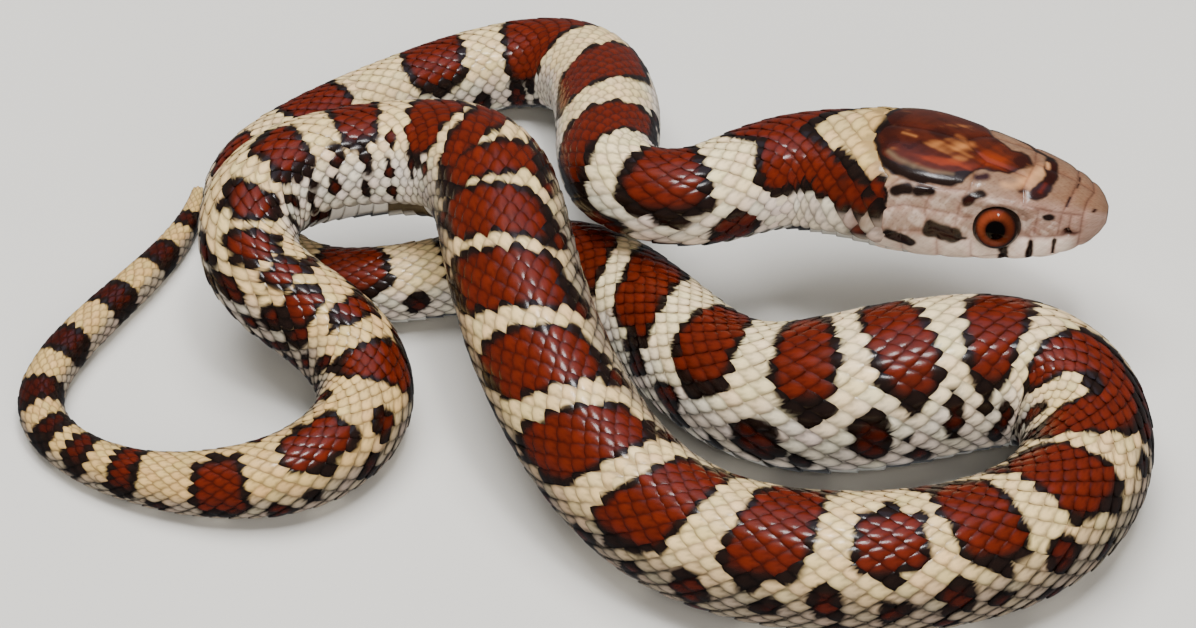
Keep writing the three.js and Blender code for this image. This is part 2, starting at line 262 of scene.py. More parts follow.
# Marks on the head, painted in this order: paint, half width and softness in millimetres, whether both sides
# have it, and its line as distances from the snout and angles from the crown.
HEAD_MARKS = (
    # this thin amber streak on the back of the cap is a painted highlight
    ("amber", 0.0, 0.16, False, [(11.1, 9), (11.9, 7)]),
    ("olive", 0.02, 0.22, True, [(8.6, 40), (9.7, 41), (10.8, 39)]),
    ("olive", 0.06, 0.24, True, [(10.8, 39), (11.8, 34), (12.4, 28)]),
    ("peach", 0.5, 0.4, False, [(3.9, 10), (4.5, 28)]),
    ("peach", 0.2, 0.3, False, [(5.0, 36), (5.6, 40)]),
    ("black", 0.37, 0.12, False, [(3.6, -15), (3.4, -2), (3.3, 14), (3.45, 26), (3.7, 36), (3.95, 45)]),
    ("black", 0.42, 0.12, False, [(3.5, 27), (3.7, 37)]),
    ("liver", 0.3, 0.2, False, [(3.45, -8), (3.3, 14), (3.5, 27), (3.75, 38), (3.95, 43)]),
    ("brick", 0.04, 0.2, False, [(3.5, 24), (3.7, 38)]),
    # this pale patch in the snout band's upper part is a painted highlight
    ("peach", 0.08, 0.14, False, [(3.7, -5), (3.6, 0)]),
    ("liver", 0.14, 0.16, False, [(4.6, 41), (4.8, 43)]),
    ("black", 0.17, 0.1, False, [(3.7, -16), (4.2, -20), (4.9, -29), (5.7, -33)]),
    ("liver", 0.24, 0.2, False, [(6.8, 35), (7.25, 38)]),
    ("liver", 0.2, 0.14, False, [(6.8, -36), (7.3, -37)]),
    ("black", 0.3, 0.14, True, [(6.85, 54), (7.3, 58), (7.55, 64)]),
    ("liver", 0.16, 0.14, True, [(7.3, 60), (7.6, 65)]),
    ("black", 0.3, 0.12, True, [(9.6, 58), (10.3, 60)]),
    ("black", 0.3, 0.12, True, [(10.9, 59), (11.7, 61.5)]),
    ("black", 0.29, 0.1, True, [(2.95, 69), (3.08, 71)]),
    ("black", 0.4, 0.1, True, [(8.1, 94.5), (8.8, 92), (9.5, 90.5)]),
    ("liver", 0.18, 0.16, True, [(8.3, 93.5), (9.3, 91)]),
    ("black", 0.1, 0.1, True, [(7.5, 97), (8.0, 95)]),
    ("black", 0.36, 0.1, True, [(10.6, 104), (11.2, 100), (11.9, 97)]),
    ("liver", 0.14, 0.14, True, [(10.9, 102), (11.5, 99)]),
    ("black", 0.26, 0.12, True, [(13.2, 101), (14.2, 103)]),
    ("brick", 0.16, 0.16, True, [(13.5, 100), (14.1, 100)]),
    ("black", 0.26, 0.12, True, [(14.8, 105), (15.8, 100), (17.2, 109)]),
    ("black", 0.11, 0.07, True, [(2.6, 99), (2.68, 128)]),
    ("black", 0.19, 0.08, True, [(3.87, 99), (4.05, 136)]),
    ("black", 0.3, 0.1, True, [(5.32, 99), (5.42, 136)]),
    ("liver", 0.06, 0.08, True, [(1.78, 2), (1.82, 11)]),
    ("liver", 0.08, 0.09, True, [(2.05, 33), (2.15, 50)]),
    ("liver", 0.1, 0.12, True, [(0.62, 44), (0.7, 52)]),
    ("cap", 0.14, 0.36, True, [(1.55, 95), (2.05, 91)]),
)

# The small scales start behind the head's plates: angle from the crown in degrees, distance from the snout.
COAT_START = np.array([
    [0, 13.25], [8, 13.6], [20, 13.4], [38, 12.75], [51, 11.9], [62, 12.15], [78, 12.3], [100, 12.2],
    [118, 12.8], [135, 12.0], [150, 9.0], [180, 8.2],
])

# Seams between the head's plates: distance from the snout in millimetres, angle from the crown in degrees.
PLATE_SEAMS = {
    "rostral": [(0.85, 0), (1.1, 30), (1.2, 62), (1.25, 94), (1.35, 126)],
    "internasal pair": [(0.85, 0), (1.85, 0)],
    "internasal back": [(1.85, 0), (1.95, 25), (2.15, 46), (2.3, 62)],
    "nasal top": [(1.2, 62), (2.3, 62)],
    "nasal halves": [(1.8, 62), (1.9, 94)],
    "prefrontal pair": [(1.85, 0), (4.35, 0)],
    "prefrontal side": [(2.3, 62), (3.6, 60), (4.45, 58)],
    "frontal front": [(4.35, 0), (4.5, 22), (4.65, 40), (4.45, 58)],
    "frontal side": [(4.5, 22), (5.8, 19), (6.95, 17)],
    "frontal back": [(6.95, 17), (7.7, 9), (8.3, 0)],
    "supraocular back": [(6.95, 17), (7.35, 33), (7.55, 52)],
    "parietal pair": [(8.3, 0), (13.3, 0)],
    "parietal outside": [(7.55, 52), (9.2, 55), (11.4, 51), (12.8, 38), (13.5, 20), (13.7, 8), (13.3, 0)],
    "nasal back": [(2.3, 62), (2.45, 94)],
    "loreal back": [(3.6, 60), (3.75, 94)],
    "labials top": [(1.25, 94), (2.45, 94), (3.75, 94), (4.55, 96)],
    "labials behind eye": [(7.3, 99), (8.2, 94), (9.3, 90), (11.2, 92), (12.7, 104), (13.0, 122)],
    "labial 1": [(2.6, 94), (2.7, 126)],
    "labial 2": [(3.9, 94), (4.0, 126)],
    "labial 3": [(5.4, 104), (5.45, 126)],
    "labial 4": [(7.2, 101), (7.1, 126)],
    "labial 5": [(9.1, 91), (9.0, 126)],
    "labial 6": [(11.1, 92), (11.0, 126)],
    "postocular back": [(7.55, 52), (7.95, 66), (8.05, 80), (8.2, 94)],
    "postocular halves": [(7.35, 79), (8.0, 79)],
    "temporal front": [(8.05, 77), (9.9, 74), (11.1, 73), (12.2, 78)],
    "temporal first back": [(9.5, 55), (9.9, 74), (9.6, 90)],
    "temporal second back": [(11.4, 50), (12.2, 62), (12.4, 78), (12.2, 96)],
    "mental": [(1.6, 180), (1.65, 165), (1.1, 158)],
    "lower labials": [(1.65, 165), (3.0, 146), (6.0, 144), (9.0, 143), (12.4, 140)],
    "lower labial 1": [(2.4, 128), (2.2, 153)],
    "lower labial 2": [(3.8, 127), (3.6, 146)],
    "lower labial 3": [(5.3, 127), (5.2, 145)],
    "lower labial 4": [(7.0, 127), (7.0, 144)],
    "lower labial 5": [(8.9, 127), (9.0, 143)],
    "lower labial 6": [(10.8, 127), (11.0, 141)],
    "chin pair": [(1.6, 180), (8.2, 180)],
    "chin front": [(1.65, 165), (3.4, 158), (5.2, 162), (5.3, 180)],
    "chin back": [(5.2, 162), (7.2, 166), (8.2, 180)],
}
MOUTH = [(0.75, 180), (0.95, 160), (1.4, 141), (2.8, 126), (5.8, 124), (10.0, 125), (12.0, 123), (12.9, 119)]
NOSTRIL = [(1.88, 93), (2.0, 90)]


def linear(hexa):
    """The linear colour of an sRGB hex value."""
    srgb = np.array([int(hexa[k:k + 2], 16) for k in (1, 3, 5)]) / 255
    return np.where(srgb <= 0.04045, srgb / 12.92, ((srgb + 0.055) / 1.055) ** 2.4)


def smooth(x, low, high):
    """0 below low, 1 above high, and 3t^2 - 2t^3 between."""
    t = np.clip((x - low) / (high - low), 0, 1)
    return t * t * (3 - 2 * t)


def bell(x, middle, width):
    """The bell curve exp(-t^2), where t is how many widths a value lies from the middle."""
    return np.exp(-((x - middle) / width) ** 2)


def read(table, d):
    """The second column of a table, read between its rows at values of the first."""
    return np.interp(d, table[:, 0], table[:, 1])


def mix(one, other, share):
    """One colour turned towards another by a share from 0 to 1 at each place."""
    return one + (other - one) * share[..., None]


def cubic_through(x, rows, column):
    """The cubic Hermite curve through a table's rows, whose slopes are those of its neighbours' chords."""
    at, value = rows[:, 0], rows[:, column]
    slope = np.gradient(value, at)
    slope[1:-1] = (value[2:] - value[:-2]) / (at[2:] - at[:-2])
    i = np.clip(np.searchsorted(at, x, side="right") - 1, 0, len(at) - 2)
    span = at[i + 1] - at[i]
    t = np.clip((x - at[i]) / span, 0, 1)
    rise = (2 * t ** 3 - 3 * t ** 2 + 1) * value[i] + (3 * t ** 2 - 2 * t ** 3) * value[i + 1]
    return rise + span * ((t ** 3 - 2 * t ** 2 + t) * slope[i] + (t ** 3 - t ** 2) * slope[i + 1])


class MiddleLine:
    """The line inside the snake, from the snout's tip to the tail's, with sideways and upward directions.

    Past the skull it is the uniform cubic B-spline of the guides: each span sums four guides with the
    weights (1-x)^3, 3x^3-6x^2+4, 1+3x+3x^2-3x^3 and x^3, over 6."""

    SAMPLES = 12001
    HEAD_SAMPLES = 300
    ROLL_FADE = (-1, 3.2)  # the head's roll fades out between these millimetres from the skull's back

    def __init__(self):
        spans = len(GUIDES) - 3
        t = np.linspace(0, spans, self.SAMPLES)
        first = np.minimum(t.astype(int), spans - 1)
        x = (t - first)[:, None]
        weights = ((1 - x) ** 3, 3 * x ** 3 - 6 * x ** 2 + 4, 1 + 3 * x + 3 * x ** 2 - 3 * x ** 3, x ** 3)
        body = sum(w * GUIDES[first + k] for k, w in enumerate(weights)) / 6
        head = np.linspace(SNOUT_TIP, SKULL_BACK, self.HEAD_SAMPLES)[:-1]
        self.place = np.vstack([head, body[:, :3]])
        steps = np.linalg.norm(np.diff(self.place, axis=0), axis=1)
        self.along = np.concatenate([[0], np.cumsum(steps)])
        self.length = self.along[-1]
        girth = np.maximum(body[:, 3], TAIL_TIP_RADIUS)
        self.radius = np.concatenate([np.full(len(head), body[0, 3]), girth])
        self.tailward = np.gradient(self.place, self.along, axis=0)
        self.tailward /= np.linalg.norm(self.tailward, axis=1)[:, None]

    def read_rows(self, rows, d):
        """Rows of three numbers, one to each sample of the line, read between them at distances from the
        snout."""
        return np.stack([np.interp(d, self.along, rows[:, k]) for k in range(3)], -1)

    def radius_at(self, d):
        """The body's radius at distances from the snout."""
        return np.interp(d, self.along, self.radius)

    def at(self, d):
        """Place, sideways, upward and radius at distances from the snout. Sideways is the snake's right. It
        is level and square to the line, and then turned round it by the head's roll, as upward is."""
        tailward = self.read_rows(self.tailward, d)
        side = np.cross([0, 0, 1.0], tailward)
        side /= np.linalg.norm(side, axis=-1, keepdims=True)
        up = np.cross(tailward, side)
        before, after = self.ROLL_FADE
        roll = (HEAD_ROLL * (1 - smooth(d, HEAD_LENGTH + before, HEAD_LENGTH + after)))[..., None]
        rolled_side = side * np.cos(roll) + up * np.sin(roll)
        rolled_up = up * np.cos(roll) - side * np.sin(roll)
        return self.read_rows(self.place, d), rolled_side, rolled_up, self.radius_at(d)


LINE = MiddleLine()
TAIL_END = LINE.length - 0.02  # no scale or plate reaches past this distance from the snout


def head_directions():
    """Headward, rightward and upward unit vectors of the head."""
    _, side, up, _ = LINE.at(np.array([EYE_FROM_SNOUT]))
    return HEADWARD, side[0], up[0]


def eye_centre(hand):
    """The middle of the right eye, with a hand of 1, or of the left, with -1."""
    ahead, right, up = head_directions()
    return SNOUT_TIP - EYE_FROM_SNOUT * ahead + hand * EYE_SIDE * right + EYE_HEIGHT * up


# The solids' frame starts under the middle of their box, so it is shifted by what carries an eye there.
EYE_BOX = np.array([list(corner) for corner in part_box("eye_right")]) / MM
OFFSET = EYE_BOX.mean(0) - eye_centre(1)
EYE_RADIUS = (EYE_BOX[1] - EYE_BOX[0])[2] / 2


def lean(d):
    """How far the back leans over at a distance from the snout, in radians."""
    return np.radians(read(LEAN, d))


def boxy(v, size):
    """A sine or cosine raised to 2 / BOXINESS with its sign kept, times a size."""
    return np.sign(v) * size * np.abs(v) ** (2 / BOXINESS)


def section(d, angle):
    """Sideways and upward reach of a cross-section at an angle from its top: a superellipse on the head, of
    boxy sine and cosine, easing into a circle on the neck."""
    c, s = np.cos(angle), np.sin(angle)
    half, top, bottom = (cubic_through(np.minimum(d, HEAD_END), HEAD_PROFILE, k) for k in (1, 2, 3))
    body = smooth(d, NECK_START, HEAD_END)
    radius = LINE.radius_at(d)
    sideways = boxy(s, half) * (1 - body) + radius * s * body
    upwards = np.where(c > 0, boxy(c, top), boxy(c, bottom)) * (1 - body) + radius * c * body
    return sideways, upwards


def surface(d, angle, lift, depth):
    """Points over the skin. The section's own reach is cut by the coat's depth and raised by the lift, both
    measured straight out from the middle line, and what would sink into the floor is laid on it."""
    place, side, up, radius = LINE.at(d)
    sideways, upwards = section(d, angle)
    reach = np.hypot(sideways, upwards)
    depth_here = depth * np.minimum(1, radius / FULL_DEPTH_RADIUS)
    grown = (reach - depth_here + lift * np.minimum(1, radius / FULL_LIFT_RADIUS)) / reach
    points = place + side * (sideways * grown)[..., None] + up * (upwards * grown)[..., None]
    points[..., 2] = np.maximum(points[..., 2], np.maximum(depth_here - lift, 0))
    return points


def put_mesh(name, points, faces, colours=None, maps=None):
    """A mesh object of points in millimetres in the middle line's frame, with a row of point numbers for each
    face, which ends in -1 where the face has fewer corners. Colours go with points and maps with corners."""
    mesh = bpy.data.meshes.new(name)
    verts = ((points.reshape(-1, 3) + OFFSET) * MM).astype(np.float32)
    sizes = (faces >= 0).sum(1)
    corners = faces[faces >= 0]
    mesh.vertices.add(len(verts))
    mesh.vertices.foreach_set("co", verts.ravel())
    mesh.loops.add(len(corners))
    mesh.loops.foreach_set("vertex_index", corners.astype(np.int32))
    mesh.polygons.add(len(faces))
    starts = np.concatenate([[0], np.cumsum(sizes)[:-1]])
    mesh.polygons.foreach_set("loop_start", starts.astype(np.int32))
    mesh.polygons.foreach_set("use_smooth", np.ones(len(faces), bool))
    mesh.update(calc_edges=True)
    if colours is not None:
        layer = mesh.color_attributes.new("Markings", "FLOAT_COLOR", "POINT")
        rgba = np.ones((len(verts), 4), np.float32)
        rgba[:, :3] = colours.reshape(-1, 3)
        layer.data.foreach_set("color", rgba.ravel())
    if maps is not None:
        layer = mesh.uv_layers.new(name="OFBake")
        layer.data.foreach_set("uv", maps[faces >= 0].astype(np.float32).ravel())
    mesh.validate()
    obj = bpy.data.objects.new(name, mesh)
    bpy.context.scene.collection.objects.link(obj)
    return obj


def closed_tube_faces(rings, around):
    """Faces of a tube of rings: a fan at the first point, quads between rings and a fan at the last."""
    k = np.arange(around)
    after = (k + 1) % around
    none = np.full(around, -1)
    first = np.stack([np.zeros(around, int), 1 + k, 1 + after, none], 1)
    r = np.arange(rings - 1)[:, None] * around
    quads = 1 + np.stack([r + k, r + around + k, r + around + after, r + after], -1).reshape(-1, 4)
    start = 1 + (rings - 1) * around
    last = np.stack([np.full(around, 1 + rings * around), start + after, start + k, none], 1)
    return np.vstack([first, quads, last])


def ring_and_step(faces, around):
    """The ring of each corner of a closed tube's faces, and its step round the ring. A face over the cut at
    step 0 counts on past the last step, so that an unwrap is cut there."""
    point = np.maximum(faces, 1) - 1
    step = point % around
    over_cut = (step == 0) & (step.max(1, keepdims=True) > around / 2)
    return point // around, np.where(over_cut, around, step)


def copied_faces(quads, points, count):
    """Faces of many copies of one grid, each with its own run of points."""
    return (quads[None] + (np.arange(count) * points)[:, None, None]).reshape(-1, 4)


# Markings

OUTSIDE = -9.0  # the depth, in millimetres, of a place that lies in no patch


def worn(seed, a, b):
    """A smooth value from -1 to 1 that wanders with two others: sines of unrelated steps, multiplied."""
    one = np.sin(a * 1.7 + seed) * np.sin(b * 2.3 + 1.3 * seed)
    two = np.sin(a * 4.1 + b * 1.9 + 2.1 * seed) * np.sin(b * 5.3 - a * 1.1 + seed)
    return 0.6 * one + 0.4 * two


def cloudy(colour, amount, seed, a, b):
    """A colour made lighter and darker in soft clouds by a share of itself."""
    return colour * (1 + amount * worn(seed, a, b)[..., None])


def patch(d, angle, centre, middle, half, span, power):
    """How far inside a rounded patch a place is, in millimetres: above 0 inside, from the norm
    (|x| ^ power + |y| ^ power) ^ (1 / power) of the two reaches."""
    x = np.abs(d - centre) / half
    y = np.abs(angle - middle) / span
    return (1 - (x ** power + y ** power) ** (1 / power)) * min(half, span * MM_PER_DEGREE)


def segment_gaps(d, angle, path):
    """Distances in millimetres from places to each piece of a path of distances and angles."""
    start, end = np.array(path[:-1], float), np.array(path[1:], float)
    start[:, 1] *= MM_PER_DEGREE
    end[:, 1] *= MM_PER_DEGREE
    x, y = d[..., None] - start[:, 0], angle[..., None] * MM_PER_DEGREE - start[:, 1]
    run = end - start
    t = np.clip((x * run[:, 0] + y * run[:, 1]) / (run ** 2).sum(1), 0, 1)
    return np.hypot(x - t * run[:, 0], y - t * run[:, 1])


def stroke(d, angle, path, reach):
    """How deep inside a line of a given half width a place is."""
    return reach - segment_gaps(d, angle, path).min(-1)


def outline(d, angle, path):
    """How deep inside a closed outline a place is, by the even and odd crossings of its edges."""
    path = [*path, path[0]]
    gap = segment_gaps(d, angle, path).min(-1)
    p = np.array(path, float)
    rises = (p[:-1, 1] > angle[..., None]) != (p[1:, 1] > angle[..., None])
    steep = np.where(p[1:, 1] == p[:-1, 1], 1e-9, p[1:, 1] - p[:-1, 1])
    crossing = p[:-1, 0] + (angle[..., None] - p[:-1, 1]) / steep * (p[1:, 0] - p[:-1, 0])
    inside = (rises & (d[..., None] < crossing)).sum(-1) % 2 == 1
    return np.where(inside, gap, -gap)


def paint(colour, over, depth, soft=0.04):
    """Lays a colour over others where the depth inside a patch is above 0, softened over some millimetres."""
    share = smooth(depth, -soft, soft)[..., None]
    return colour * (1 - share) + over * share


def saddle_depth(d, angle):
    """How deep inside any saddle a place is, in millimetres: 0 at its edge, less outside."""
    depth = np.full(np.shape(d), OUTSIDE)
    for centre, half, span, middle, slant in SADDLES:
        near = np.abs(d - centre) < half + SADDLE_SLACK
        along = d[near] - slant * angle[near]
        if ROUND_SADDLES[0] < centre < ROUND_SADDLES[1]:
            here = patch(along, angle[near], centre, middle, half, span + ROUND_EXTRA_SPAN, ROUND_POWER)
        else:
            here = patch(along, angle[near], centre, middle, half, span, SQUARE_POWER)
        depth[near] = np.maximum(depth[near], here)
    return depth


def tips_depth(d, angle, seed):
    """How deep inside the black tips a place is, which run down from the saddles' lower ends. They are
    ellipses whose half length down the flank is 8 to 15 degrees, and along the body 0.22 to 0.36 of the
    saddle's."""
    rng = np.random.RandomState(seed)
    depth = np.full(np.shape(d), OUTSIDE)
    for centre, half, span, middle, slant in SADDLES:
        near = np.abs(d - centre) < half + SADDLE_SLACK
        along = d[near] - slant * angle[near]
        for hand in (-1, 1):
            place, reach, long = rng.uniform(-0.25, 0.25), rng.uniform(0.22, 0.36), rng.uniform(8, 15)
            end = middle + hand * (span + 1)
            here = patch(along, angle[near], centre + place, end, reach * half, long, 2)
            depth[near] = np.maximum(depth[near], here)
    return depth


def nape_depth(d, angle, inset=0.0):
    """How deep inside the nape's saddle a place is, or inside its red part with an inset of 1. Its front edge
    runs forward as it goes down the sides, and its black edge is widest there and along the lower side."""
    s = NAPE_SADDLE
    down = np.abs(angle)
    rough = 0.12 * worn(2, d * 3, angle * 0.2)
    front = s["front"] - s["slope"] * down + inset
    back = s["back"] + 1.3 * np.sin(np.clip(down / s["span"], 0, 1) * np.pi) - 0.6 * inset
    span = s["span"] - 13 * inset
    body = np.minimum(np.minimum((d - front) * 0.7, back - d), (span - down) * MM_PER_DEGREE)
    arm = stroke(d, down, s["arm"], s["arm_reach"] - 0.32 * inset)
    return np.maximum(body, arm) + rough * (0.4 + inset)


def spots_depth(d, angle, seed):
    """How deep inside the dark spots of the flanks a place is: a row of large ones between the saddles and
    two rows of small ones below, on both sides, which make room for the placed ones of FLANK_SPOTS."""
    rng = np.random.RandomState(seed)
    depth = np.full(np.shape(d), OUTSIDE)
    centres = SADDLES[:, 0][SADDLES[:, 0] < BLACK_TAIL_SADDLES]
    gaps = np.concatenate([FLANK_SPOTS[:1, 0], (centres[1:] + centres[:-1]) / 2])
    for between, below, halves, spans in SPOT_ROWS:
        for place in gaps if between else centres:
            placed_only = any(first < place < last for first, last in PLACED_ONLY)
            for hand in (-1, 1):
                middle = read(SPOT_ANGLES, place) + below + rng.uniform(-4, 4)
                half, span, shift = rng.uniform(*halves), rng.uniform(*spans), rng.uniform(-0.3, 0.3)
                beside = np.abs(FLANK_SPOTS[:, 0] - place) < PLACED_CLEARANCE
                placed = (beside & (FLANK_SPOTS[:, 2] * hand > 0)).any()
                if placed and (below == 0 or placed_only):
                    continue
                near = np.abs(d - place) < SPOT_REACH
                here = patch(d[near], angle[near], place + shift, hand * middle, half, span, SPOT_POWER)
                depth[near] = np.maximum(depth[near], here)
    for place, half, middle, span in FLANK_SPOTS:
        near = np.abs(d - place) < SPOT_REACH
        here = patch(d[near], angle[near], place, middle, half, span, SPOT_POWER)
        depth[near] = np.maximum(depth[near], here)
    # a dark stalk runs down the near side from the saddle on the second bend
    return np.maximum(depth, patch(d, angle, 52.0, 96, 0.85, 40, 3))


def saddle_red(d, angle, paints):
    """The saddles' brick red, a little cloudy."""
    return cloudy(paints["brick"], 0.16, 7, d * 1.9, angle * 0.09)


def body_ground(d, angle, paints):
    """The pale ground of the body: tan or cream on the back, greyer on the flanks, partly as painted shade,
    and white on the belly.
    """
    down = np.abs(angle)
    yellow = smooth(d, 205, 235) + 0.5 * (1 - smooth(d, 16, 22))
    back = mix(paints["tan"], paints["rump"], yellow)
    back = mix(back, paints["cream"], read(PALE_BACK, d))
    back = cloudy(back, 0.08, 3, d * 1.3, angle * 0.05)
    flank = mix(paints["flank"], paints["pale_flank"], read(PALE_FLANK, d))
    flank = cloudy(flank, 0.07, 5, d * 2.1, angle * 0.08)
    # painted shade darkens the lower flanks, over their own grey
    colour = mix(back, flank, smooth(down + 9 * worn(2, d, angle * 0.03), 38, 78))
    return mix(colour, paints["belly"], smooth(down, 104, 116))


def body_markings(d, angle, paints, jitter):
    """The body's colour at distances from the snout and angles from the crown in degrees: spots with a dark
    red heart over the ground, then the saddles, whose red starts inside a black edge."""
    spots = spots_depth(d, angle, 11) + jitter
    tips = tips_depth(d, angle, 17) + jitter
    colour = paint(body_ground(d, angle, paints), paints["black"], np.maximum(spots, tips))
    heart = mix(paints["liver"], paints["brick"], 0.55 + 0.35 * worn(9, d, angle * 0.1))
    colour = paint(colour, heart, spots - SPOT_EDGE, 0.12)
    saddles = saddle_depth(d, angle) + jitter + 0.05
    colour = paint(colour, paints["black"], np.maximum(saddles, nape_depth(d, angle) + jitter))
    rump = smooth(d, BLACK_TAIL_SADDLES - 3, BLACK_TAIL_SADDLES + 8)
    red = mix(saddle_red(d, angle, paints), paints["liver"], 0.78 * rump)
    inner = np.maximum(saddles - read(BLACK_EDGE, d), nape_depth(d, angle, 1.0) + jitter)
    return paint(colour, red, inner, 0.12)


def head_ground(d, angle, paints):
    """The head's pale ground: duller and browner on top, partly as painted shade, white on the lips, partly
    as painted light, clouded and patched with white, with small flecks, and turning to the back's tan on the
    nape."""
    down = np.abs(angle)
    ground = mix(paints["snout"], paints["cheek"], smooth(d, 4, 9))
    # painted shade darkens and browns the top, where the light from above falls most; the top is also browner
    # of its own
    top = 1 - smooth(down, 36, 66)[..., None]
    ground = ground * (1 - top * np.array([0.36, 0.45, 0.58]))
    # painted light: the lip plates are lightened, most at the third, over their own whiteness
    shine = 1 + 0.22 * bell(d, 4.6, 1.1) - 0.14 * smooth(d, 6, 8)
    lips = paints["lip"] * shine[..., None]
    ground = mix(ground, lips, 0.9 * smooth(down, 92, 100) * smooth(d, 0.9, 2.4))
    cloud = 0.6 * worn(4, d * 2.2, angle * 0.07) + 0.6 * worn(13, d * 5.1, angle * 0.31)
    cloud = cloud + 0.5 * worn(31, d * 10.7, angle * 0.73)
    ground = ground * (1 + np.array([0.15, 0.22, 0.24]) * cloud[..., None])
    white = smooth(worn(19, d * 1.9, angle * 0.11) + 0.4 * worn(12, d * 5.3, angle * 0.29), -0.1, 0.5)
    ground = mix(ground, paints["lip"], 0.42 * white * smooth(down, 50, 70) * smooth(d, 2, 3))
    fleck = smooth(worn(15, d * 7.3, angle * 0.47), 0.3, 0.7) * (1 - smooth(down, 88, 98))
    ground = ground * (1 - 0.28 * fleck[..., None])
    nape = mix((paints["tan"] + paints["rump"]) / 2, ground, smooth(down, 40, 70))
    return mix(ground, nape, smooth(d, 11, 13.5))


def clouds(d, angle, table):
    """The sum of a table's clouds, each a bell curve along the head times one round it."""
    return sum(much * bell(d, at, long) * bell(angle, to, wide) for much, at, long, to, wide in table)


def cap_colour(d, angle, paints):
    """The cap's red brown, clouded with dark brown, then amber, then a glowing orange red."""
    mottle = 0.8 * worn(8, d * 0.9, angle * 0.07) + 0.5 * worn(21, d * 2.4, angle * 0.17)
    streak = 0.8 * worn(3, d * 1.0, angle * 0.12) + 0.3 * worn(24, d * 2.1, angle * 0.19)
    colour = paints["cap"] * (1 + 0.4 * mottle)[..., None]
    dark = 0.5 * mottle + clouds(d, angle, CAP_DARK)
    colour = mix(colour, paints["liver"], 0.85 * smooth(dark, 0.15, 0.85))
    bright = 0.55 * streak + clouds(d, angle, CAP_AMBER)
    colour = mix(colour, paints["amber"], 0.75 * smooth(bright, 0.2, 1.25))
    warm = 0.4 * streak + clouds(d, angle, CAP_GLOW)
    return mix(colour, paints["glow"], 0.8 * smooth(warm, 0.25, 1.0))


def head_markings(d, angle, paints, jitter):
    """The head's colour: its ground, the dark red cap in its black edge, and the marks in their order. The
    edge is widest along the cap's sides."""
    down = np.abs(angle)
    rough = 0.09 * worn(6, d * 1.3, angle * 0.07) + 0.04 * worn(2, d * 1.9, angle * 0.12)
    cap = outline(d, angle, CAP) + rough + jitter
    colour = paint(head_ground(d, angle, paints), paints["black"], cap, 0.09)
    edge = 0.12 + 0.62 * smooth(down, 31, 38) * smooth(d, 7.3, 8.0) + 0.2 * smooth(d, 12, 12.8)
    colour = paint(colour, cap_colour(d, angle, paints), cap - edge, 0.14)
    for name, reach, soft, both, path in HEAD_MARKS:
        depth = stroke(d, down if both else angle, path, reach) + rough * min(1.2, reach / 0.3)
        colour = paint(colour, paints[name] * (1 + 2.5 * rough[..., None]), depth, soft)
    return colour


def markings(d, angle, paints, jitter=0.0):
    """The snake's colour anywhere: the head's and, from the nape on, the body's."""
    d, angle = np.broadcast_arrays(np.asarray(d, float), np.asarray(angle, float))
    jitter = np.broadcast_to(jitter, d.shape)
    colour = body_markings(d, angle, paints, jitter)
    front = d < 17
    d, angle, jitter = d[front], angle[front], jitter[front]
    head = head_markings(d, angle, paints, jitter)
    head = paint(head, paints["black"], nape_depth(d, angle) + jitter)
    head = paint(head, saddle_red(d, angle, paints), nape_depth(d, angle, 1.0) + jitter, 0.14)
    for path in NAPE_SPOTS:
        head = paint(head, paints["black"], stroke(d, np.abs(angle), path, 0.16) + jitter, 0.1)
    share = smooth(d, 13.5, 15.5)[..., None]
    colour[front] = head * (1 - share) + colour[front] * share
    return colour


def body_angle(d, angle):
    """The angle from the crown of the markings and scales, in degrees, for a section's angle in radians."""
    turned = np.degrees(angle - lean(d) * smooth(d, LEAN_START, HEAD_END))
    return (turned + 180) % 360 - 180


def section_angle(d, crown_angle):
    """The section's angle in radians for an angle from the crown in degrees."""
    return np.radians(crown_angle) + lean(d) * smooth(d, LEAN_START, HEAD_END)


# Scales

SCALE_POINT = 0.42  # how far back a scale's free edge lies at its sides, as a share of its length
WALL_SLOPE = 0.05  # how far back the foot of its wall lies
FACE, RIM, FOOT = 0, 1, 2  # what a point of a scale's grid belongs to
TYPICAL_PITCH = 1.2  # the height of a scale is that of the settings where its row is this long
SHEER = -0.01  # the foot of a wall sinks this far into the skin
SIDE_OVERLAP = 1.06  # width of a scale as a share of its part of the round
NARROW_ROOT = 0.8  # width of its root as a share of its own
FOLLOW = 0.45  # how much a point takes the colour of its scale's middle, from 0 to 1
EDGE_JITTER = 0.13  # the markings' edges lie up to this many millimetres off, scale by scale
LAST_ROOT = LINE.length - 0.6  # the last scales' roots lie no nearer to the tail's tip
ROOT_MARGIN = 0.55  # how far the first scales' roots may lie ahead of the coat's start, under the plates


def pitch(d):
    """Length in millimetres of one scale row along the body: 0.65 and 0.145 of the radius, less up to 0.16 on
    the neck."""
    return 0.65 + 0.145 * LINE.radius_at(d) - 0.16 * (1 - smooth(d, 14, 24))


def row_starts(first, last):
    """Distances from the snout of each row across the body, and of the rows half a step back, stepping by the
    pitch: the whole numbers that the sum of 1 / pitch goes through."""
    grid = np.linspace(0, LINE.length, 4000)
    count = np.concatenate([[0], np.cumsum(np.diff(grid) / pitch((grid[1:] + grid[:-1]) / 2))])
    numbers = np.arange(np.ceil(np.interp(first, grid, count)), np.floor(np.interp(last, grid, count)) + 1)
    return np.interp(numbers, count, grid), np.interp(numbers + 0.5, count, grid)


def stretch(d, angle):
    """How much longer the skin is than the middle line at a place: above 1 outside a bend, below 1 inside. It
    compares the places a step ahead and behind, and is kept between 0.2 and 2.2."""
    step = 0.15
    ahead = surface(d + step, angle, 0.0, 0.1)
    behind = surface(d - step, angle, 0.0, 0.1)
    return np.clip(np.linalg.norm(ahead - behind, axis=-1) / (2 * step), 0.2, 2.2)


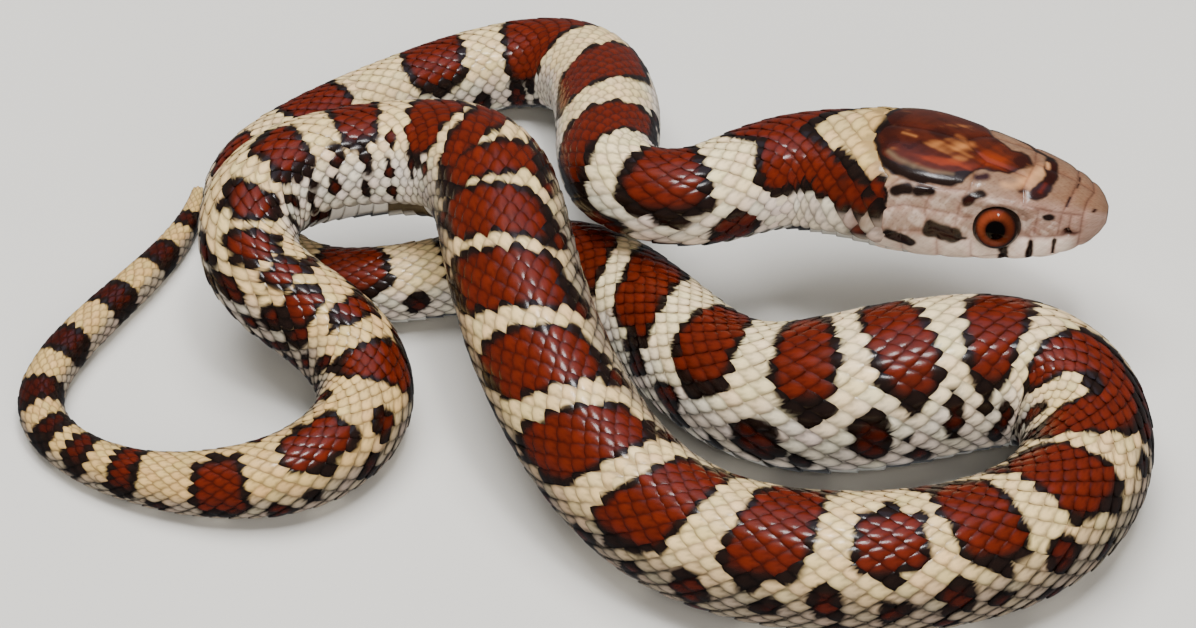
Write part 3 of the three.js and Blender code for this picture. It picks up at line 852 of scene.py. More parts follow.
def template(rows, columns):
    """One scale's grid: 0 to 1 from root to free edge, crowded near the edge, by -1 to 1 across. The last two
    rows of points are the free edge again and the foot of its wall, so that the wall has its own shading."""
    a = 1 - (1 - np.linspace(0, 1, rows + 1)) ** 1.5
    b = np.sin(np.linspace(-1, 1, columns + 1) * np.pi / 2)
    across = columns + 1
    a = np.concatenate([np.repeat(a, across), np.ones(2 * across)])
    part = np.repeat([FACE, RIM, FOOT], [len(a) - 2 * across, across, across])
    b = np.tile(b, rows + 3)
    i = (np.append(np.arange(rows), rows + 1) * across)[:, None] + np.arange(columns)
    quads = np.stack([i, i + across, i + across + 1, i + 1], -1).reshape(-1, 4)
    return a, b, part, quads


def scale_shade(a, b, part, edge, side):
    """How light each point of a scale is, with painted shade. It darkens in a rim along its own free edge,
    partly the scale's own dark border and partly painted shade, and along those of the two scales that lie
    over its root, as a painted shadow of their edges; their middles are 0.943 to each side and 0.385 back.
    The rims are wider and darker towards a side of 1."""
    ahead = (1 - a) * edge
    behind = a * edge + 0.385 - (1 - SCALE_POINT * np.abs((np.abs(b) - 0.943)) ** 1.5)
    rim = 0.54 * bell(ahead, 0, 0.1 + 0.04 * side) + 0.44 * bell(behind, 0, 0.11 + 0.05 * side)
    # painted shade: the wall and foot are dark, and so is the part under the scales ahead
    rim = np.where(part > FACE, 0.7, np.where(behind < 0, 0.44, rim))
    return 1 - np.minimum(rim * (1 + 0.6 * side), 0.94)


def scale_sheet(name, roots, paints, sizes, seed, ends):
    """A joined mesh of scales. Roots hold distances from the snout, crown angles in degrees and the angle
    between neighbouring rows in degrees, and ends are the stretch's first and last distance.

    Each scale is a grid of a from 0 at its root to 1 at its free edge, by b from -1 to 1 across. It is
    0.9 m + 0.4 rows long, where m is the skin's stretch, so that it covers the next ones' roots. The edge is
    a rounded point: it lies at the scale's length times 1 - 0.42 |b| ^ 1.5. The height is a slope up to the
    edge plus a dome of (1 - b^2)(1 - 0.15 a) - 0.75 ((a - 0.6) / 0.6)^2, and a wall drops from the edge to
    the skin. Each point's colour is read between its own place and its scale's middle, so that the edges of
    markings half follow the scales."""
    rng = np.random.RandomState(seed)
    d, crown_angle, spacing = roots
    a, b, part, quads = template(8, 8)
    count = len(d)
    step = pitch(d)
    angle = section_angle(d, crown_angle)
    m = stretch(d, angle)
    long = step * (0.9 * m + 0.4) * rng.uniform(0.97, 1.03, count)
    radius = np.hypot(*section(d, angle)) - sizes.skin_depth / MM
    width = np.radians(spacing) * radius * SIDE_OVERLAP
    edge = 1 - SCALE_POINT * np.abs(b) ** 1.5 - WALL_SLOPE * (part == FOOT)
    x = (a * edge)[None] * long[:, None]
    y = b[None] * width[:, None] * (NARROW_ROOT + (1 - NARROW_ROOT) * smooth(a, 0, 0.45))[None]
    at = np.minimum(d[:, None] + x / m[:, None], TAIL_END)
    lean_on = (lean(at) - lean(d)[:, None]) * smooth(at, LEAN_START, HEAD_END)
    turn = angle[:, None] + y / radius[:, None] + lean_on
    dome = (1 - b ** 2) * (1 - 0.15 * a) - 0.75 * ((a - 0.6) / 0.6) ** 2
    top = sizes.scale_rise / MM * a + sizes.scale_dome / MM * np.maximum(dome, -0.35) + 0.03
    top = np.where(part == FOOT, SHEER, top)
    lift = top[None] * (step / TYPICAL_PITCH)[:, None] * rng.uniform(0.9, 1.1, (count, 1))
    points = surface(at, turn, lift, sizes.skin_depth / MM)
    jitter = rng.uniform(-EDGE_JITTER, EDGE_JITTER, (count, 1))
    seen_d = (1 - FOLLOW) * at + FOLLOW * (d + 0.6 * long / m)[:, None]
    seen_angle = (1 - FOLLOW) * body_angle(at, turn) + FOLLOW * crown_angle[:, None]
    # where the angle jumps from 180 to -180 inside a scale, the root's own is taken
    seen_angle = np.where(np.abs(seen_angle - crown_angle[:, None]) > 60, crown_angle[:, None], seen_angle)
    colours = markings(seen_d, seen_angle, paints, jitter)
    side = smooth(np.abs(crown_angle), 42, 78) * smooth(d, 30, 60) * (1 - 0.45 * read(PALE_FLANK, d))
    shade = scale_shade(a, b, part, edge, side[:, None])
    tone = rng.uniform(0.9, 1.07, (count, 1, 1)) * rng.uniform(0.96, 1.04, (count, 1, 3))
    colours = colours * shade[..., None] * tone
    # Each scale is a patch 0.003 across at its root's place on the skin unrolled along the middle line.
    root = np.stack([(d - ends[0]) / (ends[1] - ends[0]), (crown_angle + 180) / 360], -1) * 0.98 + 0.01
    local = np.stack([(a + 0.1 * (part == FOOT)) / 1.1 - 0.5, b / 2], -1) * 0.003
    uv = (root[:, None] + local[None]).reshape(-1, 2)
    faces = copied_faces(quads, len(a), count)
    return put_mesh(name, points, faces, colours, uv[faces])


def scale_lattice(first, last, rows, half_span):
    """Roots of the scales of the back: rows side by side over the span, every second one half a step back.
    A row at a share u of the half span lies at u (0.9 + 0.1 |u|) of it, so rows widen down the flanks."""
    # the rows are counted from before the stretch to past it, so that none half a step back is missed
    whole, half = row_starts(first - 1.5, min(last + 0.5, LAST_ROOT))
    share = (2 * np.arange(rows) - rows + 1) / rows
    odd = np.arange(rows) % 2 == 1
    d = np.where(odd[None], half[:, None], whole[:, None]).ravel()
    crown = np.tile(half_span * share * (0.9 + 0.1 * np.abs(share)), len(whole))
    spacing = np.tile(2 * half_span / rows * (0.9 + 0.2 * np.abs(share)), len(whole))
    keep = (d > np.maximum(first, coat_start(crown) - ROOT_MARGIN)) & (d <= last)
    return np.stack([d[keep], crown[keep], spacing[keep]])


def coat_start(crown_angle):
    """Where the small scales begin behind the head's plates, by the angle from the crown."""
    return read(COAT_START, np.abs(crown_angle))


# Materials


def material(name, build):
    """A new node material whose shader is filled in by build(add, join, shader)."""
    mat = bpy.data.materials.new(name)
    mat.use_nodes = True
    tree = mat.node_tree
    shader = tree.nodes["Principled BSDF"]

    def add(kind, settings=None, **links):
        """Adds a node with its settings, and values or links for its inputs by name or number."""
        node = tree.nodes.new(kind)
        for key, value in (settings or {}).items():
            setattr(node, key, value)
        for key, value in links.items():
            numbered = key.startswith("in") and key[2:].isdigit()
            socket = node.inputs[int(key[2:]) if numbered else key.replace("_", " ")]
            if isinstance(value, bpy.types.NodeSocket):
                tree.links.new(value, socket)
            else:
                socket.default_value = value
        return node

    def join(output, name):
        """Links an output to one of the shader's inputs."""
        tree.links.new(output, shader.inputs[name])

    build(add, join, shader)
    return mat


def set_shader(shader, **values):
    """Sets the shader's own sockets to plain values."""
    for key, value in values.items():
        shader.inputs[key.replace("_", " ")].default_value = value


def keratin(add, join, shader):
    """Live snake scale: clear keratin over coloured skin. It is smooth and wet looking, with pigment clouds
    0.45 mm across, 2.2 to the millimetre. Its growth lines, 0.05 mm apart, are too fine to show, so the bump
    has them at 0.12 mm, 8 to the millimetre."""
    place = add("ShaderNodeTexCoord").outputs["Object"]
    paint_in = add("ShaderNodeAttribute", {"attribute_name": "Markings"}).outputs["Color"]
    cloud = add("ShaderNodeTexNoise", Vector=place, Scale=2.2 / MM, Detail=3.0, Roughness=0.6)
    tint = add("ShaderNodeMapRange", Value=cloud.outputs["Fac"], To_Min=0.86, To_Max=1.12)
    shaded = add("ShaderNodeVectorMath", {"operation": "SCALE"}, in0=paint_in, Scale=tint.outputs["Result"])
    join(shaded.outputs["Vector"], "Base Color")
    rough = add("ShaderNodeMapRange", Value=cloud.outputs["Fac"], To_Min=0.16, To_Max=0.26)
    join(rough.outputs["Result"], "Roughness")
    fine = add("ShaderNodeTexNoise", Vector=place, Scale=8 / MM, Detail=2.0)
    bump = add("ShaderNodeBump", Strength=0.25, Distance=0.02 * MM, Height=fine.outputs["Fac"])
    join(bump.outputs["Normal"], "Normal")
    set_shader(shader, IOR=1.5, Specular_IOR_Level=0.38)


def under_skin(add, join, shader):
    """The soft skin between scales: thin, matt and darker than the scales, with folds 0.2 mm apart."""
    place = add("ShaderNodeTexCoord").outputs["Object"]
    paint_in = add("ShaderNodeAttribute", {"attribute_name": "Markings"}).outputs["Color"]
    folds = add("ShaderNodeTexNoise", Vector=place, Scale=5 / MM, Detail=3.0)
    tint = add("ShaderNodeMapRange", Value=folds.outputs["Fac"], To_Min=0.38, To_Max=0.62)
    shaded = add("ShaderNodeVectorMath", {"operation": "SCALE"}, in0=paint_in, Scale=tint.outputs["Result"])
    join(shaded.outputs["Vector"], "Base Color")
    bump = add("ShaderNodeBump", Strength=0.4, Distance=0.03 * MM, Height=folds.outputs["Fac"])
    join(bump.outputs["Normal"], "Normal")
    set_shader(shader, IOR=1.45, Roughness=0.55)


def spectacle(add, join, shader):
    """The clear scale over the eye: wet, glassy and without texture, over the coloured iris."""
    paint_in = add("ShaderNodeAttribute", {"attribute_name": "Markings"}).outputs["Color"]
    join(paint_in, "Base Color")
    set_shader(shader, IOR=1.34, Roughness=0.05, Specular_IOR_Level=0.35)


def paper(add, join, shader):
    """Matt backdrop paper: its fibres are too fine to show, so it has only faint clouds 17 mm across."""
    place = add("ShaderNodeTexCoord").outputs["Object"]
    cloud = add("ShaderNodeTexNoise", Vector=place, Scale=0.06 / MM, Detail=4.0)
    tone = add("ShaderNodeMapRange", Value=cloud.outputs["Fac"], To_Min=0.97, To_Max=1.02)
    sheet = tuple(bpy.context.scene.snake_stage.floor)
    colour = add("ShaderNodeVectorMath", {"operation": "SCALE"}, in0=sheet, Scale=tone.outputs["Result"])
    join(colour.outputs["Vector"], "Base Color")
    set_shader(shader, Roughness=0.85)


# Settings


def paint_property(name, description, hexa):
    """A colour that a user can change, from its sRGB hex value."""
    return FloatVectorProperty(
        name=name, description=description, default=linear(hexa), size=3, subtype="COLOR", min=0, max=1)


class SnakeSizes(bpy.types.PropertyGroup):
    """Sizes of the coat, in metres."""

    skin_depth: FloatProperty(
        name="Skin depth", description="How far the skin lies inside the solids",
        default=0.00016, unit="LENGTH", precision=5)
    scale_rise: FloatProperty(
        name="Scale rise", description="Height of a scale's free edge over the skin",
        default=0.00015, unit="LENGTH", precision=5)
    scale_dome: FloatProperty(
        name="Scale dome", description="How much a scale bulges in its middle",
        default=0.00013, unit="LENGTH", precision=5)
    back_span: FloatProperty(
        name="Back span", description="Half the angle that the small scales cover, above the belly plates",
        default=np.radians(109), subtype="ANGLE")


class SnakeColours(bpy.types.PropertyGroup):
    """Colours of the markings."""

    tan: paint_property("Back", "Pale ground of the back", "#e6c080")
    # the flanks' brownish grey is partly painted shade
    flank: paint_property("Flank", "Brownish grey ground of the flanks", "#7d6b55")
    # the pale flank and the cream are partly painted light, where the neck and the stout middle are most lit
    pale_flank: paint_property("Pale flank", "Whiter flanks of the neck and the stout middle", "#f4e8d8")
    cream: paint_property("Cream", "Palest ground, behind the nape and on the stout middle's back", "#fae4b4")
    belly: paint_property("Belly", "White of the belly plates", "#d8d6cf")
    snout: paint_property("Snout", "Pinkish brown ground of the snout", "#997c6e")
    cheek: paint_property("Cheek", "Pinkish tan ground of the cheeks and temples", "#a99080")
    lip: paint_property("Lips", "Pinkish white ground of the lip plates", "#e6d3c6")
    rump: paint_property("Rump", "Yellower ground of the tail, and half of it on the nape", "#cfa866")
    brick: paint_property("Saddles", "Brick red of the saddles", "#5e1b08")
    liver: paint_property("Spots", "Dark red brown inside the flank spots and on the tail", "#260b06")
    cap: paint_property("Cap", "Red brown of the head's cap", "#461a0c")
    glow: paint_property("Cap's glow", "Brighter orange red along the cap's sides", "#84300f")
    amber: paint_property("Mottle", "Orange tan streaks in the cap", "#c78147")
    olive: paint_property("Cap's line", "Brownish grey line inside the cap's black edge", "#6e5c42")
    peach: paint_property("Brow patch", "Orange tan patch between the snout's band and the cap", "#bb8b62")
    black: paint_property("Edges", "Brown black edges of saddles and spots", "#1c110d")
    iris: paint_property("Iris", "Rust red of the iris", "#77341d")


class StageSettings(bpy.types.PropertyGroup):
    """Camera, floor and lights."""

    distance: FloatProperty(
        name="Camera distance", description="From the camera to the place on the floor that it looks at",
        default=0.224, unit="LENGTH")
    elevation: FloatProperty(
        name="Camera elevation", description="Angle of the view above the floor",
        default=np.radians(42), subtype="ANGLE")
    focal: FloatProperty(
        name="Focal length", description="Of the lens, in millimetres on a 36 mm sensor",
        default=114.6)
    floor: paint_property("Floor", "Pale matt paper", "#d9d7d2")
    key_power: FloatProperty(
        name="Key light", description="Power of the soft box over the snake, in watts",
        default=3.5)
    sky: FloatProperty(
        name="Surrounding light", description="Strength of the even light from all round",
        default=0.16)


def settings():
    """The scene's sizes, colours as arrays by name, and stage settings."""
    scene = bpy.context.scene
    names = SnakeColours.__annotations__
    paints = {name: np.array(getattr(scene.snake_colours, name)) for name in names}
    return scene.snake_sizes, paints, scene.snake_stage


# Pieces


def finish_piece(obj, mat, replaced=()):
    """Gives a piece its material and body, and hides the nodes that it stands for."""
    obj.data.materials.append(mat)
    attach(obj, "root")
    if replaced:
        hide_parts(*replaced)


class SNAKE_OT_skin(bpy.types.Operator):
    """One skin from snout to tail tip, inside the solids by the coat's depth"""

    bl_idname = "snake.skin"
    bl_label = "Skin"

    RINGS = 760
    AROUND = 72
    FIRST = 0.12
    LAST = LINE.length - 0.04
    FOLDS = 8  # rows of the strip in the unwrap

    def execute(self, context):
        sizes, paints, _ = settings()
        t = np.linspace(0, 1, self.RINGS)
        # the rings stand a little closer together at both ends
        t = t - 0.012 * np.sin(2 * np.pi * t) / (2 * np.pi)
        d = self.FIRST + (self.LAST - self.FIRST) * t
        angle = np.arange(self.AROUND) / self.AROUND * 2 * np.pi
        dd, aa = np.meshgrid(d, angle, indexing="ij")
        # the skin lies deeper under the head's plates, whose seams are sunk
        under_plates = 0.35 * (1 - smooth(dd, 12.5, 15))
        points = surface(dd, aa, -under_plates, sizes.skin_depth / MM)
        colours = markings(dd, body_angle(dd, aa), paints)
        ends = np.array([points[0].mean(0), points[-1].mean(0)])
        points = np.vstack([ends[:1], points.reshape(-1, 3), ends[1:]])
        colours = np.vstack([colours[0, :1], colours.reshape(-1, 3), colours[-1, :1]])
        faces = closed_tube_faces(self.RINGS, self.AROUND)
        skin = put_mesh("skin", points, faces, colours, self.unwrap(faces))
        finish_piece(skin, material("Skin between scales", under_skin), FLESH)
        return {"FINISHED"}

    def unwrap(self, faces):
        """Lays the tube out as a strip cut along one side and folded into rows, one below the other."""
        rings = -(-self.RINGS // self.FOLDS)
        ring, step = ring_and_step(faces, self.AROUND)
        ring = np.minimum(ring, self.RINGS - 1)
        row = np.minimum(ring.min(1, keepdims=True) // rings, self.FOLDS - 1)
        u = 0.01 + 0.98 * (ring - row * rings) / rings
        v = (row + 0.02 + 0.96 * step / self.AROUND) / self.FOLDS
        return np.stack([u, v], -1)


class SNAKE_OT_head_plates(bpy.types.Operator):
    """The plates of the head, parted by sunk seams, with the mouth line, nostrils and the rims of the eyes"""

    bl_idname = "snake.head_plates"
    bl_label = "Head plates"

    RINGS = 240
    AROUND = 380
    FIRST = 0.02
    LAST = 14.8

    def gap(self, points, lines):
        """Distance in millimetres from each point of a grid to the nearest of some lines of distance and
        crown angle, which run on both sides of the head. Each of their pieces is cut into 40 steps."""
        marks = []
        for line in lines:
            line = np.array(line, float)
            steps = np.linspace(0, len(line) - 1, 40 * (len(line) - 1) + 1)
            d, crown = (np.interp(steps, np.arange(len(line)), line[:, k]) for k in (0, 1))
            marks += [surface(d, np.radians(hand * crown), 0.05, 0.1) for hand in (-1, 1)]
        return self.nearest(points, np.vstack(marks))

    def nearest(self, points, others):
        """Distance from each point of a grid to the nearest other, from |p|^2 + |q|^2 - 2 pq, in blocks."""
        flat = points.reshape(-1, 3)
        blocks = [flat[k:k + 3000] for k in range(0, len(flat), 3000)]
        square = (others ** 2).sum(1)
        least = [((b ** 2).sum(1)[:, None] + square[None] - 2 * b @ others.T).min(1) for b in blocks]
        return np.sqrt(np.maximum(np.concatenate(least), 0)).reshape(points.shape[:-1])

    def execute(self, context):
        sizes, paints, _ = settings()
        depth = sizes.skin_depth / MM
        t = np.linspace(0, 1, self.RINGS)
        # the rings crowd towards the snout
        d = self.FIRST + (self.LAST - self.FIRST) * (0.35 * t ** 2.2 + 0.65 * t)
        angle = np.arange(self.AROUND) / self.AROUND * 2 * np.pi
        dd, aa = np.meshgrid(d, angle, indexing="ij")
        crown = (np.degrees(aa) + 180) % 360 - 180
        base = surface(dd, aa, 0.05, depth)
        seam = self.gap(base, PLATE_SEAMS.values())
        mouth = self.gap(base, [MOUTH])
        nostril = self.gap(base, [NOSTRIL])
        eye = self.nearest(base, np.array([eye_centre(1), eye_centre(-1)]))
        points = surface(dd, aa, self.height(dd, crown, seam, mouth, nostril, eye), depth)
        colours = markings(dd, crown, paints) * self.shade(seam, mouth, nostril, eye)
        faces = closed_tube_faces(self.RINGS, self.AROUND)[:-self.AROUND]
        tip = points[0].mean(0) + 0.01 * HEADWARD
        points = np.vstack([tip[None], points.reshape(-1, 3)])
        colours = np.vstack([colours[0, :1], colours.reshape(-1, 3)])
        ring, step = ring_and_step(faces, self.AROUND)
        maps = np.stack([0.01 + 0.98 * ring / self.RINGS, 0.01 + 0.98 * step / self.AROUND], -1)
        plates = put_mesh("head_plates", points, faces, colours, maps)
        finish_piece(plates, material("Head plate keratin", keratin))
        return {"FINISHED"}

    def height(self, d, crown, seam, mouth, nostril, eye):
        """Height over the skin: the relief, then plates that round down into their seams, the mouth's slit
        with a low fold each side, the nostril's pit, and a sunk opening with a raised rim round each eye.
        Behind the plates it sinks under the small scales."""
        down = np.abs(crown)
        high = 0.03 + self.relief(d, down) + 0.07 * (1 - bell(seam, 0, 0.3)) - 0.05 * bell(seam, 0, 0.07)
        high = high - 0.22 * bell(mouth, 0, 0.13) + 0.05 * bell(mouth, 0.3, 0.16)
        high = high - 0.45 * bell(nostril, 0, 0.17)
        high = high - 0.3 * (1 - smooth(eye, 1.5, 2.2)) * (0.25 + 0.75 * smooth(down, 58, 72))
        high = high + 0.06 * bell(eye, 1.62, 0.09) - 0.8 * (1 - smooth(eye, 1.3, 1.5))
        hidden = smooth(d, coat_start(crown) + 0.05, coat_start(crown) + 0.45)
        return high * (1 - hidden) - 0.12 * hidden

    def shade(self, seam, mouth, nostril, eye):
        """What the colour is multiplied by: painted shade, nearly black, in the mouth's slit, the nostrils
        and the gaps round the eyes, and dark in the seams, with a faint reddish halo beside them."""
        # painted shade in the mouth, the nostrils and round the eyes; the seams are dark of their own
        dark = 0.64 * bell(seam, 0, 0.07) + 0.85 * bell(mouth, 0, 0.1) + 0.95 * bell(nostril, 0, 0.16)
        dark = np.minimum(dark + 0.9 * (1 - smooth(eye, 1.42, 1.54)), 0.97)[..., None]
        halo = (0.2 * bell(seam, 0, 0.24))[..., None]
        beside = 1 - halo * np.array([0.35, 0.9, 1.0])
        return beside * np.maximum(1 - dark * np.array([0.96, 1.03, 1.03]), 0.02)

    def relief(self, d, down):
        """The head's broad forms over the section: a ridge over the eye, a sharp canthus before it, a hollow
        at the loreal plate, the swell of the jaw muscles, a dip behind the eye, a shallow trough down the
        crown, full lips, and flat-topped temples with a narrow ridge along their outer edge."""
        brow = 0.17 * bell(d, 6.0, 1.5) * bell(down, 61.5, 4.5)
        canthus = 0.15 * bell(d, 3.6, 1.4) * bell(down, 58, 8)
        hollow = -0.16 * bell(d, 3.9, 1.1) * bell(down, 80, 14)
        cheek = 0.12 * bell(d, 11.0, 2.2) * bell(down, 88, 26)
        dip = -0.1 * bell(d, 8.0, 1.2) * bell(down, 76, 16)
        trough = -0.08 * bell(d, 5.5, 2.0) * bell(down, 0, 22)
        lips = 0.2 * bell(down, 117, 13) * smooth(d, 1.0, 2.6) * (1 - smooth(d, 8.5, 12))
        temple = 0.24 * smooth(down, 18, 50) * (1 - smooth(down, 58, 76)) * bell(d, 9.9, 3.2)
        ridge = 0.11 * bell(down, 57.5, 3.8) * bell(d, 9.7, 2.0)
        return brow + canthus + hollow + cheek + dip + trough + lips + temple + ridge


class SNAKE_OT_scales(bpy.types.Operator):
    """The small scales of the back and flanks, as joined meshes over stretches of the body"""

    bl_idname = "snake.scales"
    bl_label = "Scales"

    # Each row has a piece's name, a stretch's first and last distance from the snout, and its scale rows.
    STRETCHES = (
        ("scales_fore", 7, 62, 21), ("scales_loops", 62, 104, 23), ("scales_stout", 104, 138, 29),
        ("scales_front", 138, 166, 27), ("scales_arch", 166, 204, 25), ("scales_tail", 204, 222, 23),
        ("scales_tail", 222, 237, 19), ("scales_tail", 237, 255, 15), ("scales_tail", 255, 266, 11),
    )

    def execute(self, context):
        sizes, paints, _ = settings()
        mat = material("Back scale keratin", keratin)
        span = np.degrees(sizes.back_span)
        for seed, name in enumerate(dict.fromkeys(row[0] for row in self.STRETCHES)):
            mine = [row[1:] for row in self.STRETCHES if row[0] == name]
            roots = np.hstack([scale_lattice(first, last, rows, span) for first, last, rows in mine])
            sheet = scale_sheet(name, roots, paints, sizes, 21 + seed, (mine[0][0], mine[-1][1]))
            finish_piece(sheet, mat)
        return {"FINISHED"}


class SNAKE_OT_belly_plates(bpy.types.Operator):
    """The broad plates of the belly, one to each row of scales, with black and white checks"""

    bl_idname = "snake.belly_plates"
    bl_label = "Belly plates"

    FIRST = 8.0
    LAST = LINE.length - 0.7
    ROWS = 5
    COLUMNS = 16
    OVERLAP = np.radians(4)  # how far the plates' ends reach under the lowest scales
    CHECKS_ACROSS = 5
    FOLDS = 8  # rows of plates in the unwrap

    def execute(self, context):
        sizes, paints, _ = settings()
        d, _ = row_starts(self.FIRST, self.LAST)
        a, b, part, quads = template(self.ROWS, self.COLUMNS)
        count = len(d)
        span = np.pi - sizes.back_span + self.OVERLAP
        middle = section_angle(d, 180.0)
        m = stretch(d, middle)
        # A plate is 0.9 m + 0.38 rows long, where m is the skin's stretch. Its free edge lies at that length
        # times 1 - 0.12 b^4, and its height grows with a^0.9 up to that edge.
        long = pitch(d) * (0.9 * m + 0.38)
        x = (a * (1 - 0.12 * b ** 4) - WALL_SLOPE * (part == FOOT))[None] * long[:, None]
        at = np.minimum(d[:, None] + x / m[:, None], TAIL_END)
        turn = middle[:, None] + (b * span)[None] + (lean(at) - lean(d)[:, None])
        top = np.where(part == FOOT, SHEER, sizes.scale_rise / MM * a ** 0.9 + 0.012)
        lift = top[None] * (pitch(d) / TYPICAL_PITCH)[:, None]
        points = surface(at, turn, lift, sizes.skin_depth / MM)
        per_row = -(-count // self.FOLDS)
        row, place = np.divmod(np.arange(count), per_row)
        u = (place[:, None] + 0.04 + 0.92 * (a + 0.1 * (part == FOOT))[None] / 1.1) / per_row
        v = (row[:, None] + 0.04 + 0.92 * (b[None] + 1) / 2) / self.FOLDS
        faces = copied_faces(quads, len(a), count)
        maps = np.stack([u, v], -1).reshape(-1, 2)[faces]
        plates = put_mesh("belly_plates", points, faces, self.checks(d, b, a, part, paints), maps)
        finish_piece(plates, material("Belly plate keratin", keratin))
        return {"FINISHED"}

    def checks(self, d, b, a, part, paints):
        """Black blocks two plates long and a fifth of the belly wide, at places drawn with a set seed. Every
        second pair of plates has its blocks mostly where the pair before has none."""
        rng = np.random.RandomState(3)
        count = len(d)
        block = rng.uniform(size=(count // 2 + 2, self.CHECKS_ACROSS)) < 0.42
        block[1::2, ::2] |= ~block[0::2, ::2][:len(block[1::2])]
        shift = rng.uniform(-0.05, 0.05, (count, 1))
        column = ((b[None] + shift + 1) / 2 * self.CHECKS_ACROSS).astype(int)
        column = np.clip(column, 0, self.CHECKS_ACROSS - 1)
        black = block[np.arange(count)[:, None] // 2, column] & (d[:, None] > 16)
        colours = np.where(black[..., None], paints["black"], paints["belly"])
        # painted shade on the plates' walls and along their free edges
        shade = np.where(part > FACE, 0.3, 1 - 0.5 * smooth(a, 0.9, 1.0))
        return colours * shade[None, :, None] * rng.uniform(0.92, 1.04, (count, 1, 1))


class SNAKE_OT_eyes(bpy.types.Operator):
    """The two eyeballs, each with its round pupil and red iris"""

    bl_idname = "snake.eyes"
    bl_label = "Eyes"

    RINGS = 90
    AROUND = 96
    PUPIL = 0.56  # radius in millimetres, as the iris's
    IRIS = 1.08

    def execute(self, context):
        _, paints, _ = settings()
        ahead, right, up = head_directions()
        forward, sideways, upward = PUPIL_AXIS
        mat = material("Eye spectacle", spectacle)
        # Each ball is centre + radius (cos p axis + sin p (cos t level + sin t tall)), with p from the pupil
        # to the back of the eye and t round its axis.
        polar = (np.arange(self.RINGS) + 0.5) / self.RINGS * np.pi * 0.999
        turn = np.arange(self.AROUND) / self.AROUND * 2 * np.pi
        p, t = np.meshgrid(polar, turn, indexing="ij")
        faces = closed_tube_faces(self.RINGS, self.AROUND)
        for name, hand in (("eye_right", 1), ("eye_left", -1)):
            low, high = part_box(name)
            centre = np.array((low + high) / 2) / MM - OFFSET
            axis = forward * ahead + hand * sideways * right + upward * up
            axis /= np.linalg.norm(axis)
            level = np.cross(axis, up)
            level /= np.linalg.norm(level)
            tall = np.cross(axis, level)
            out = np.cos(p)[..., None] * axis
            out = out + np.sin(p)[..., None] * (np.cos(t)[..., None] * level + np.sin(t)[..., None] * tall)
            ball = (centre + EYE_RADIUS * out).reshape(-1, 3)
            poles = centre + EYE_RADIUS * np.array([axis, -axis])
            points = np.vstack([poles[:1], ball, poles[1:]])
            reach = EYE_RADIUS * np.sin(np.minimum(p, np.pi / 2))
            colours = self.iris(reach, t, -hand * np.cos(t), paints).reshape(-1, 3)
            colours = np.vstack([colours[:1], colours, colours[-1:]])
            eye = put_mesh(f"{name}_ball", points, faces, colours)
            finish_piece(eye, mat, [name])
        return {"FINISHED"}

    def iris(self, r, turn, front, paints):
        """Black pupil, then the red iris with radial streaks, darker round the pupil, with painted shade
        towards a front of 1, which is the snout's side, and a dark outer ring."""
        streak = 0.5 + 0.5 * np.sin(turn * 23 + 3 * np.sin(turn * 7)) * np.sin(turn * 11 + 1)
        glow = 1.05 - 0.65 * bell(r, self.PUPIL, 0.15) + 0.22 * (streak - 0.5)
        # painted shade over the iris towards the snout's side
        glow = glow * (1 - 0.3 * smooth(r, 0.85, self.IRIS)) * (1 - 0.62 * smooth(front, -0.2, 1))
        colour = paints["iris"] * glow[..., None]
        colour = paint(colour, paints["black"] * 0.6, r - self.IRIS, 0.1)
        return paint(colour, paints["black"] * 0.1, self.PUPIL - r, 0.05)


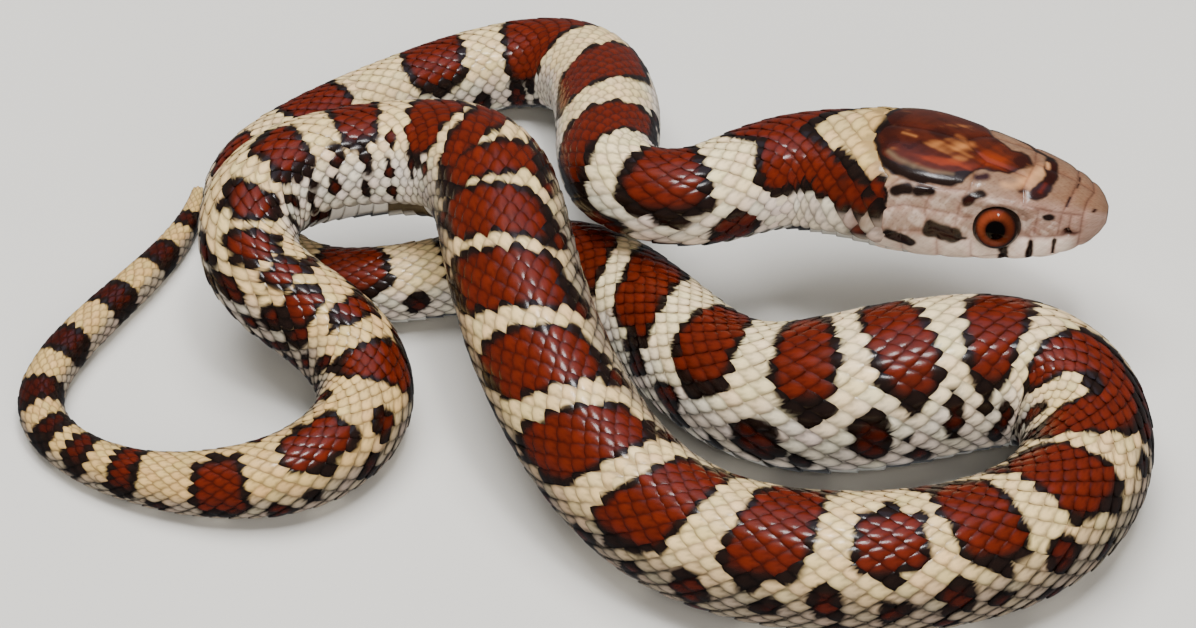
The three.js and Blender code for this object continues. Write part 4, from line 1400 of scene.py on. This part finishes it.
class SNAKE_OT_stage(bpy.types.Operator):
    """A pale paper floor, soft light and the camera"""

    bl_idname = "snake.stage"
    bl_label = "Stage"

    FLOOR_RADIUS = 1.6
    FLOOR_CORNERS = 64
    FLOOR_DROP = 0.00002

    # Square soft boxes: name, place and size in metres, share of the key light's power, tone, and the kind of
    # ray that doesn't see them. Two give no shine, so that the wet scales' glints stay few and small.
    LIGHTS = (
        ("soft_box", (-0.04, 0.05, 0.42), 0.3, 0.8, "#ffffff", "visible_glossy"),
        ("lamp", (0.06, -0.08, 0.42), 0.07, 0.2, "#ffffff", None),
        ("sky_sheen", (0.07, 0.11, 0.4), 0.32, 0.08, "#c0ccf5", "visible_diffuse"),
        ("front_fill", (0.1, -0.44, 0.28), 0.4, 0.6, "#fff6ea", "visible_glossy"),
    )

    def execute(self, context):
        _, _, stage = settings()
        scene = context.scene
        turn = np.linspace(0, 2 * np.pi, self.FLOOR_CORNERS + 1)[:-1]
        rim = np.stack([self.FLOOR_RADIUS * np.cos(turn), self.FLOOR_RADIUS * np.sin(turn), 0 * turn], -1)
        rim[:, 2] -= self.FLOOR_DROP
        floor = put_mesh("floor", rim / MM - OFFSET, np.arange(self.FLOOR_CORNERS)[None])
        floor.data.materials.append(material("Pale paper", paper))
        # mirrored in wet scales, the paper would turn the low flanks grey
        floor.visible_glossy = False
        camera = bpy.data.objects.new("camera", bpy.data.cameras.new("camera"))
        camera.data.lens = stage.focal
        camera.data.sensor_width = 36
        camera.data.clip_start = 0.01
        back, rise = np.cos(stage.elevation), np.sin(stage.elevation)
        across, deep = OFFSET[:2] * MM
        camera.location = (across, deep - stage.distance * back, stage.distance * rise)
        camera.rotation_euler = (np.pi / 2 - stage.elevation, 0, 0)
        scene.collection.objects.link(camera)
        scene.camera = camera
        for name, place, size, share, tone, hidden in self.LIGHTS:
            lamp = bpy.data.objects.new(name, bpy.data.lights.new(name, "AREA"))
            lamp.data.shape = "SQUARE"
            lamp.data.size = size
            lamp.data.energy = stage.key_power * share
            lamp.data.color = linear(tone)
            lamp.location = place
            lamp.rotation_euler = (-Vector(place)).to_track_quat("-Z", "Y").to_euler()
            scene.collection.objects.link(lamp)
            if hidden:
                setattr(lamp, hidden, False)
        world = bpy.data.worlds.new("surroundings")
        world.use_nodes = True
        background = world.node_tree.nodes["Background"]
        background.inputs["Color"].default_value = (*linear("#eef2f6"), 1)
        background.inputs["Strength"].default_value = stage.sky
        scene.world = world
        return {"FINISHED"}


class SNAKE_PT_panel(bpy.types.Panel):
    """Lists the snake's settings and steps in the sidebar"""

    bl_idname = "SNAKE_PT_panel"
    bl_label = "Milk Snake"
    bl_space_type = "VIEW_3D"
    bl_region_type = "UI"
    bl_category = "Milk Snake"

    def draw(self, context):
        layout = self.layout
        scene = context.scene
        for group in (scene.snake_sizes, scene.snake_colours, scene.snake_stage):
            column = layout.column(align=True)
            for name in type(group).__annotations__:
                column.prop(group, name)
        for operator in PIECES:
            layout.operator(operator.bl_idname)


GROUPS = {"snake_sizes": SnakeSizes, "snake_colours": SnakeColours, "snake_stage": StageSettings}
PIECES = (
    SNAKE_OT_stage, SNAKE_OT_skin, SNAKE_OT_head_plates,
    SNAKE_OT_scales, SNAKE_OT_belly_plates, SNAKE_OT_eyes,
)


def register():
    for group in GROUPS.values():
        bpy.utils.register_class(group)
    for name, group in GROUPS.items():
        setattr(bpy.types.Scene, name, PointerProperty(type=group))
    for piece in (*PIECES, SNAKE_PT_panel):
        bpy.utils.register_class(piece)


def unregister():
    for piece in (*PIECES, SNAKE_PT_panel):
        bpy.utils.unregister_class(piece)
    for name, group in GROUPS.items():
        delattr(bpy.types.Scene, name)
        bpy.utils.unregister_class(group)


def main():
    register()
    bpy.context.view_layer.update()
    bpy.ops.snake.stage()
    bpy.ops.snake.skin()
    bpy.ops.snake.head_plates()
    bpy.ops.snake.scales()
    bpy.ops.snake.belly_plates()
    bpy.ops.snake.eyes()


if __name__ == "__main__":
    main()
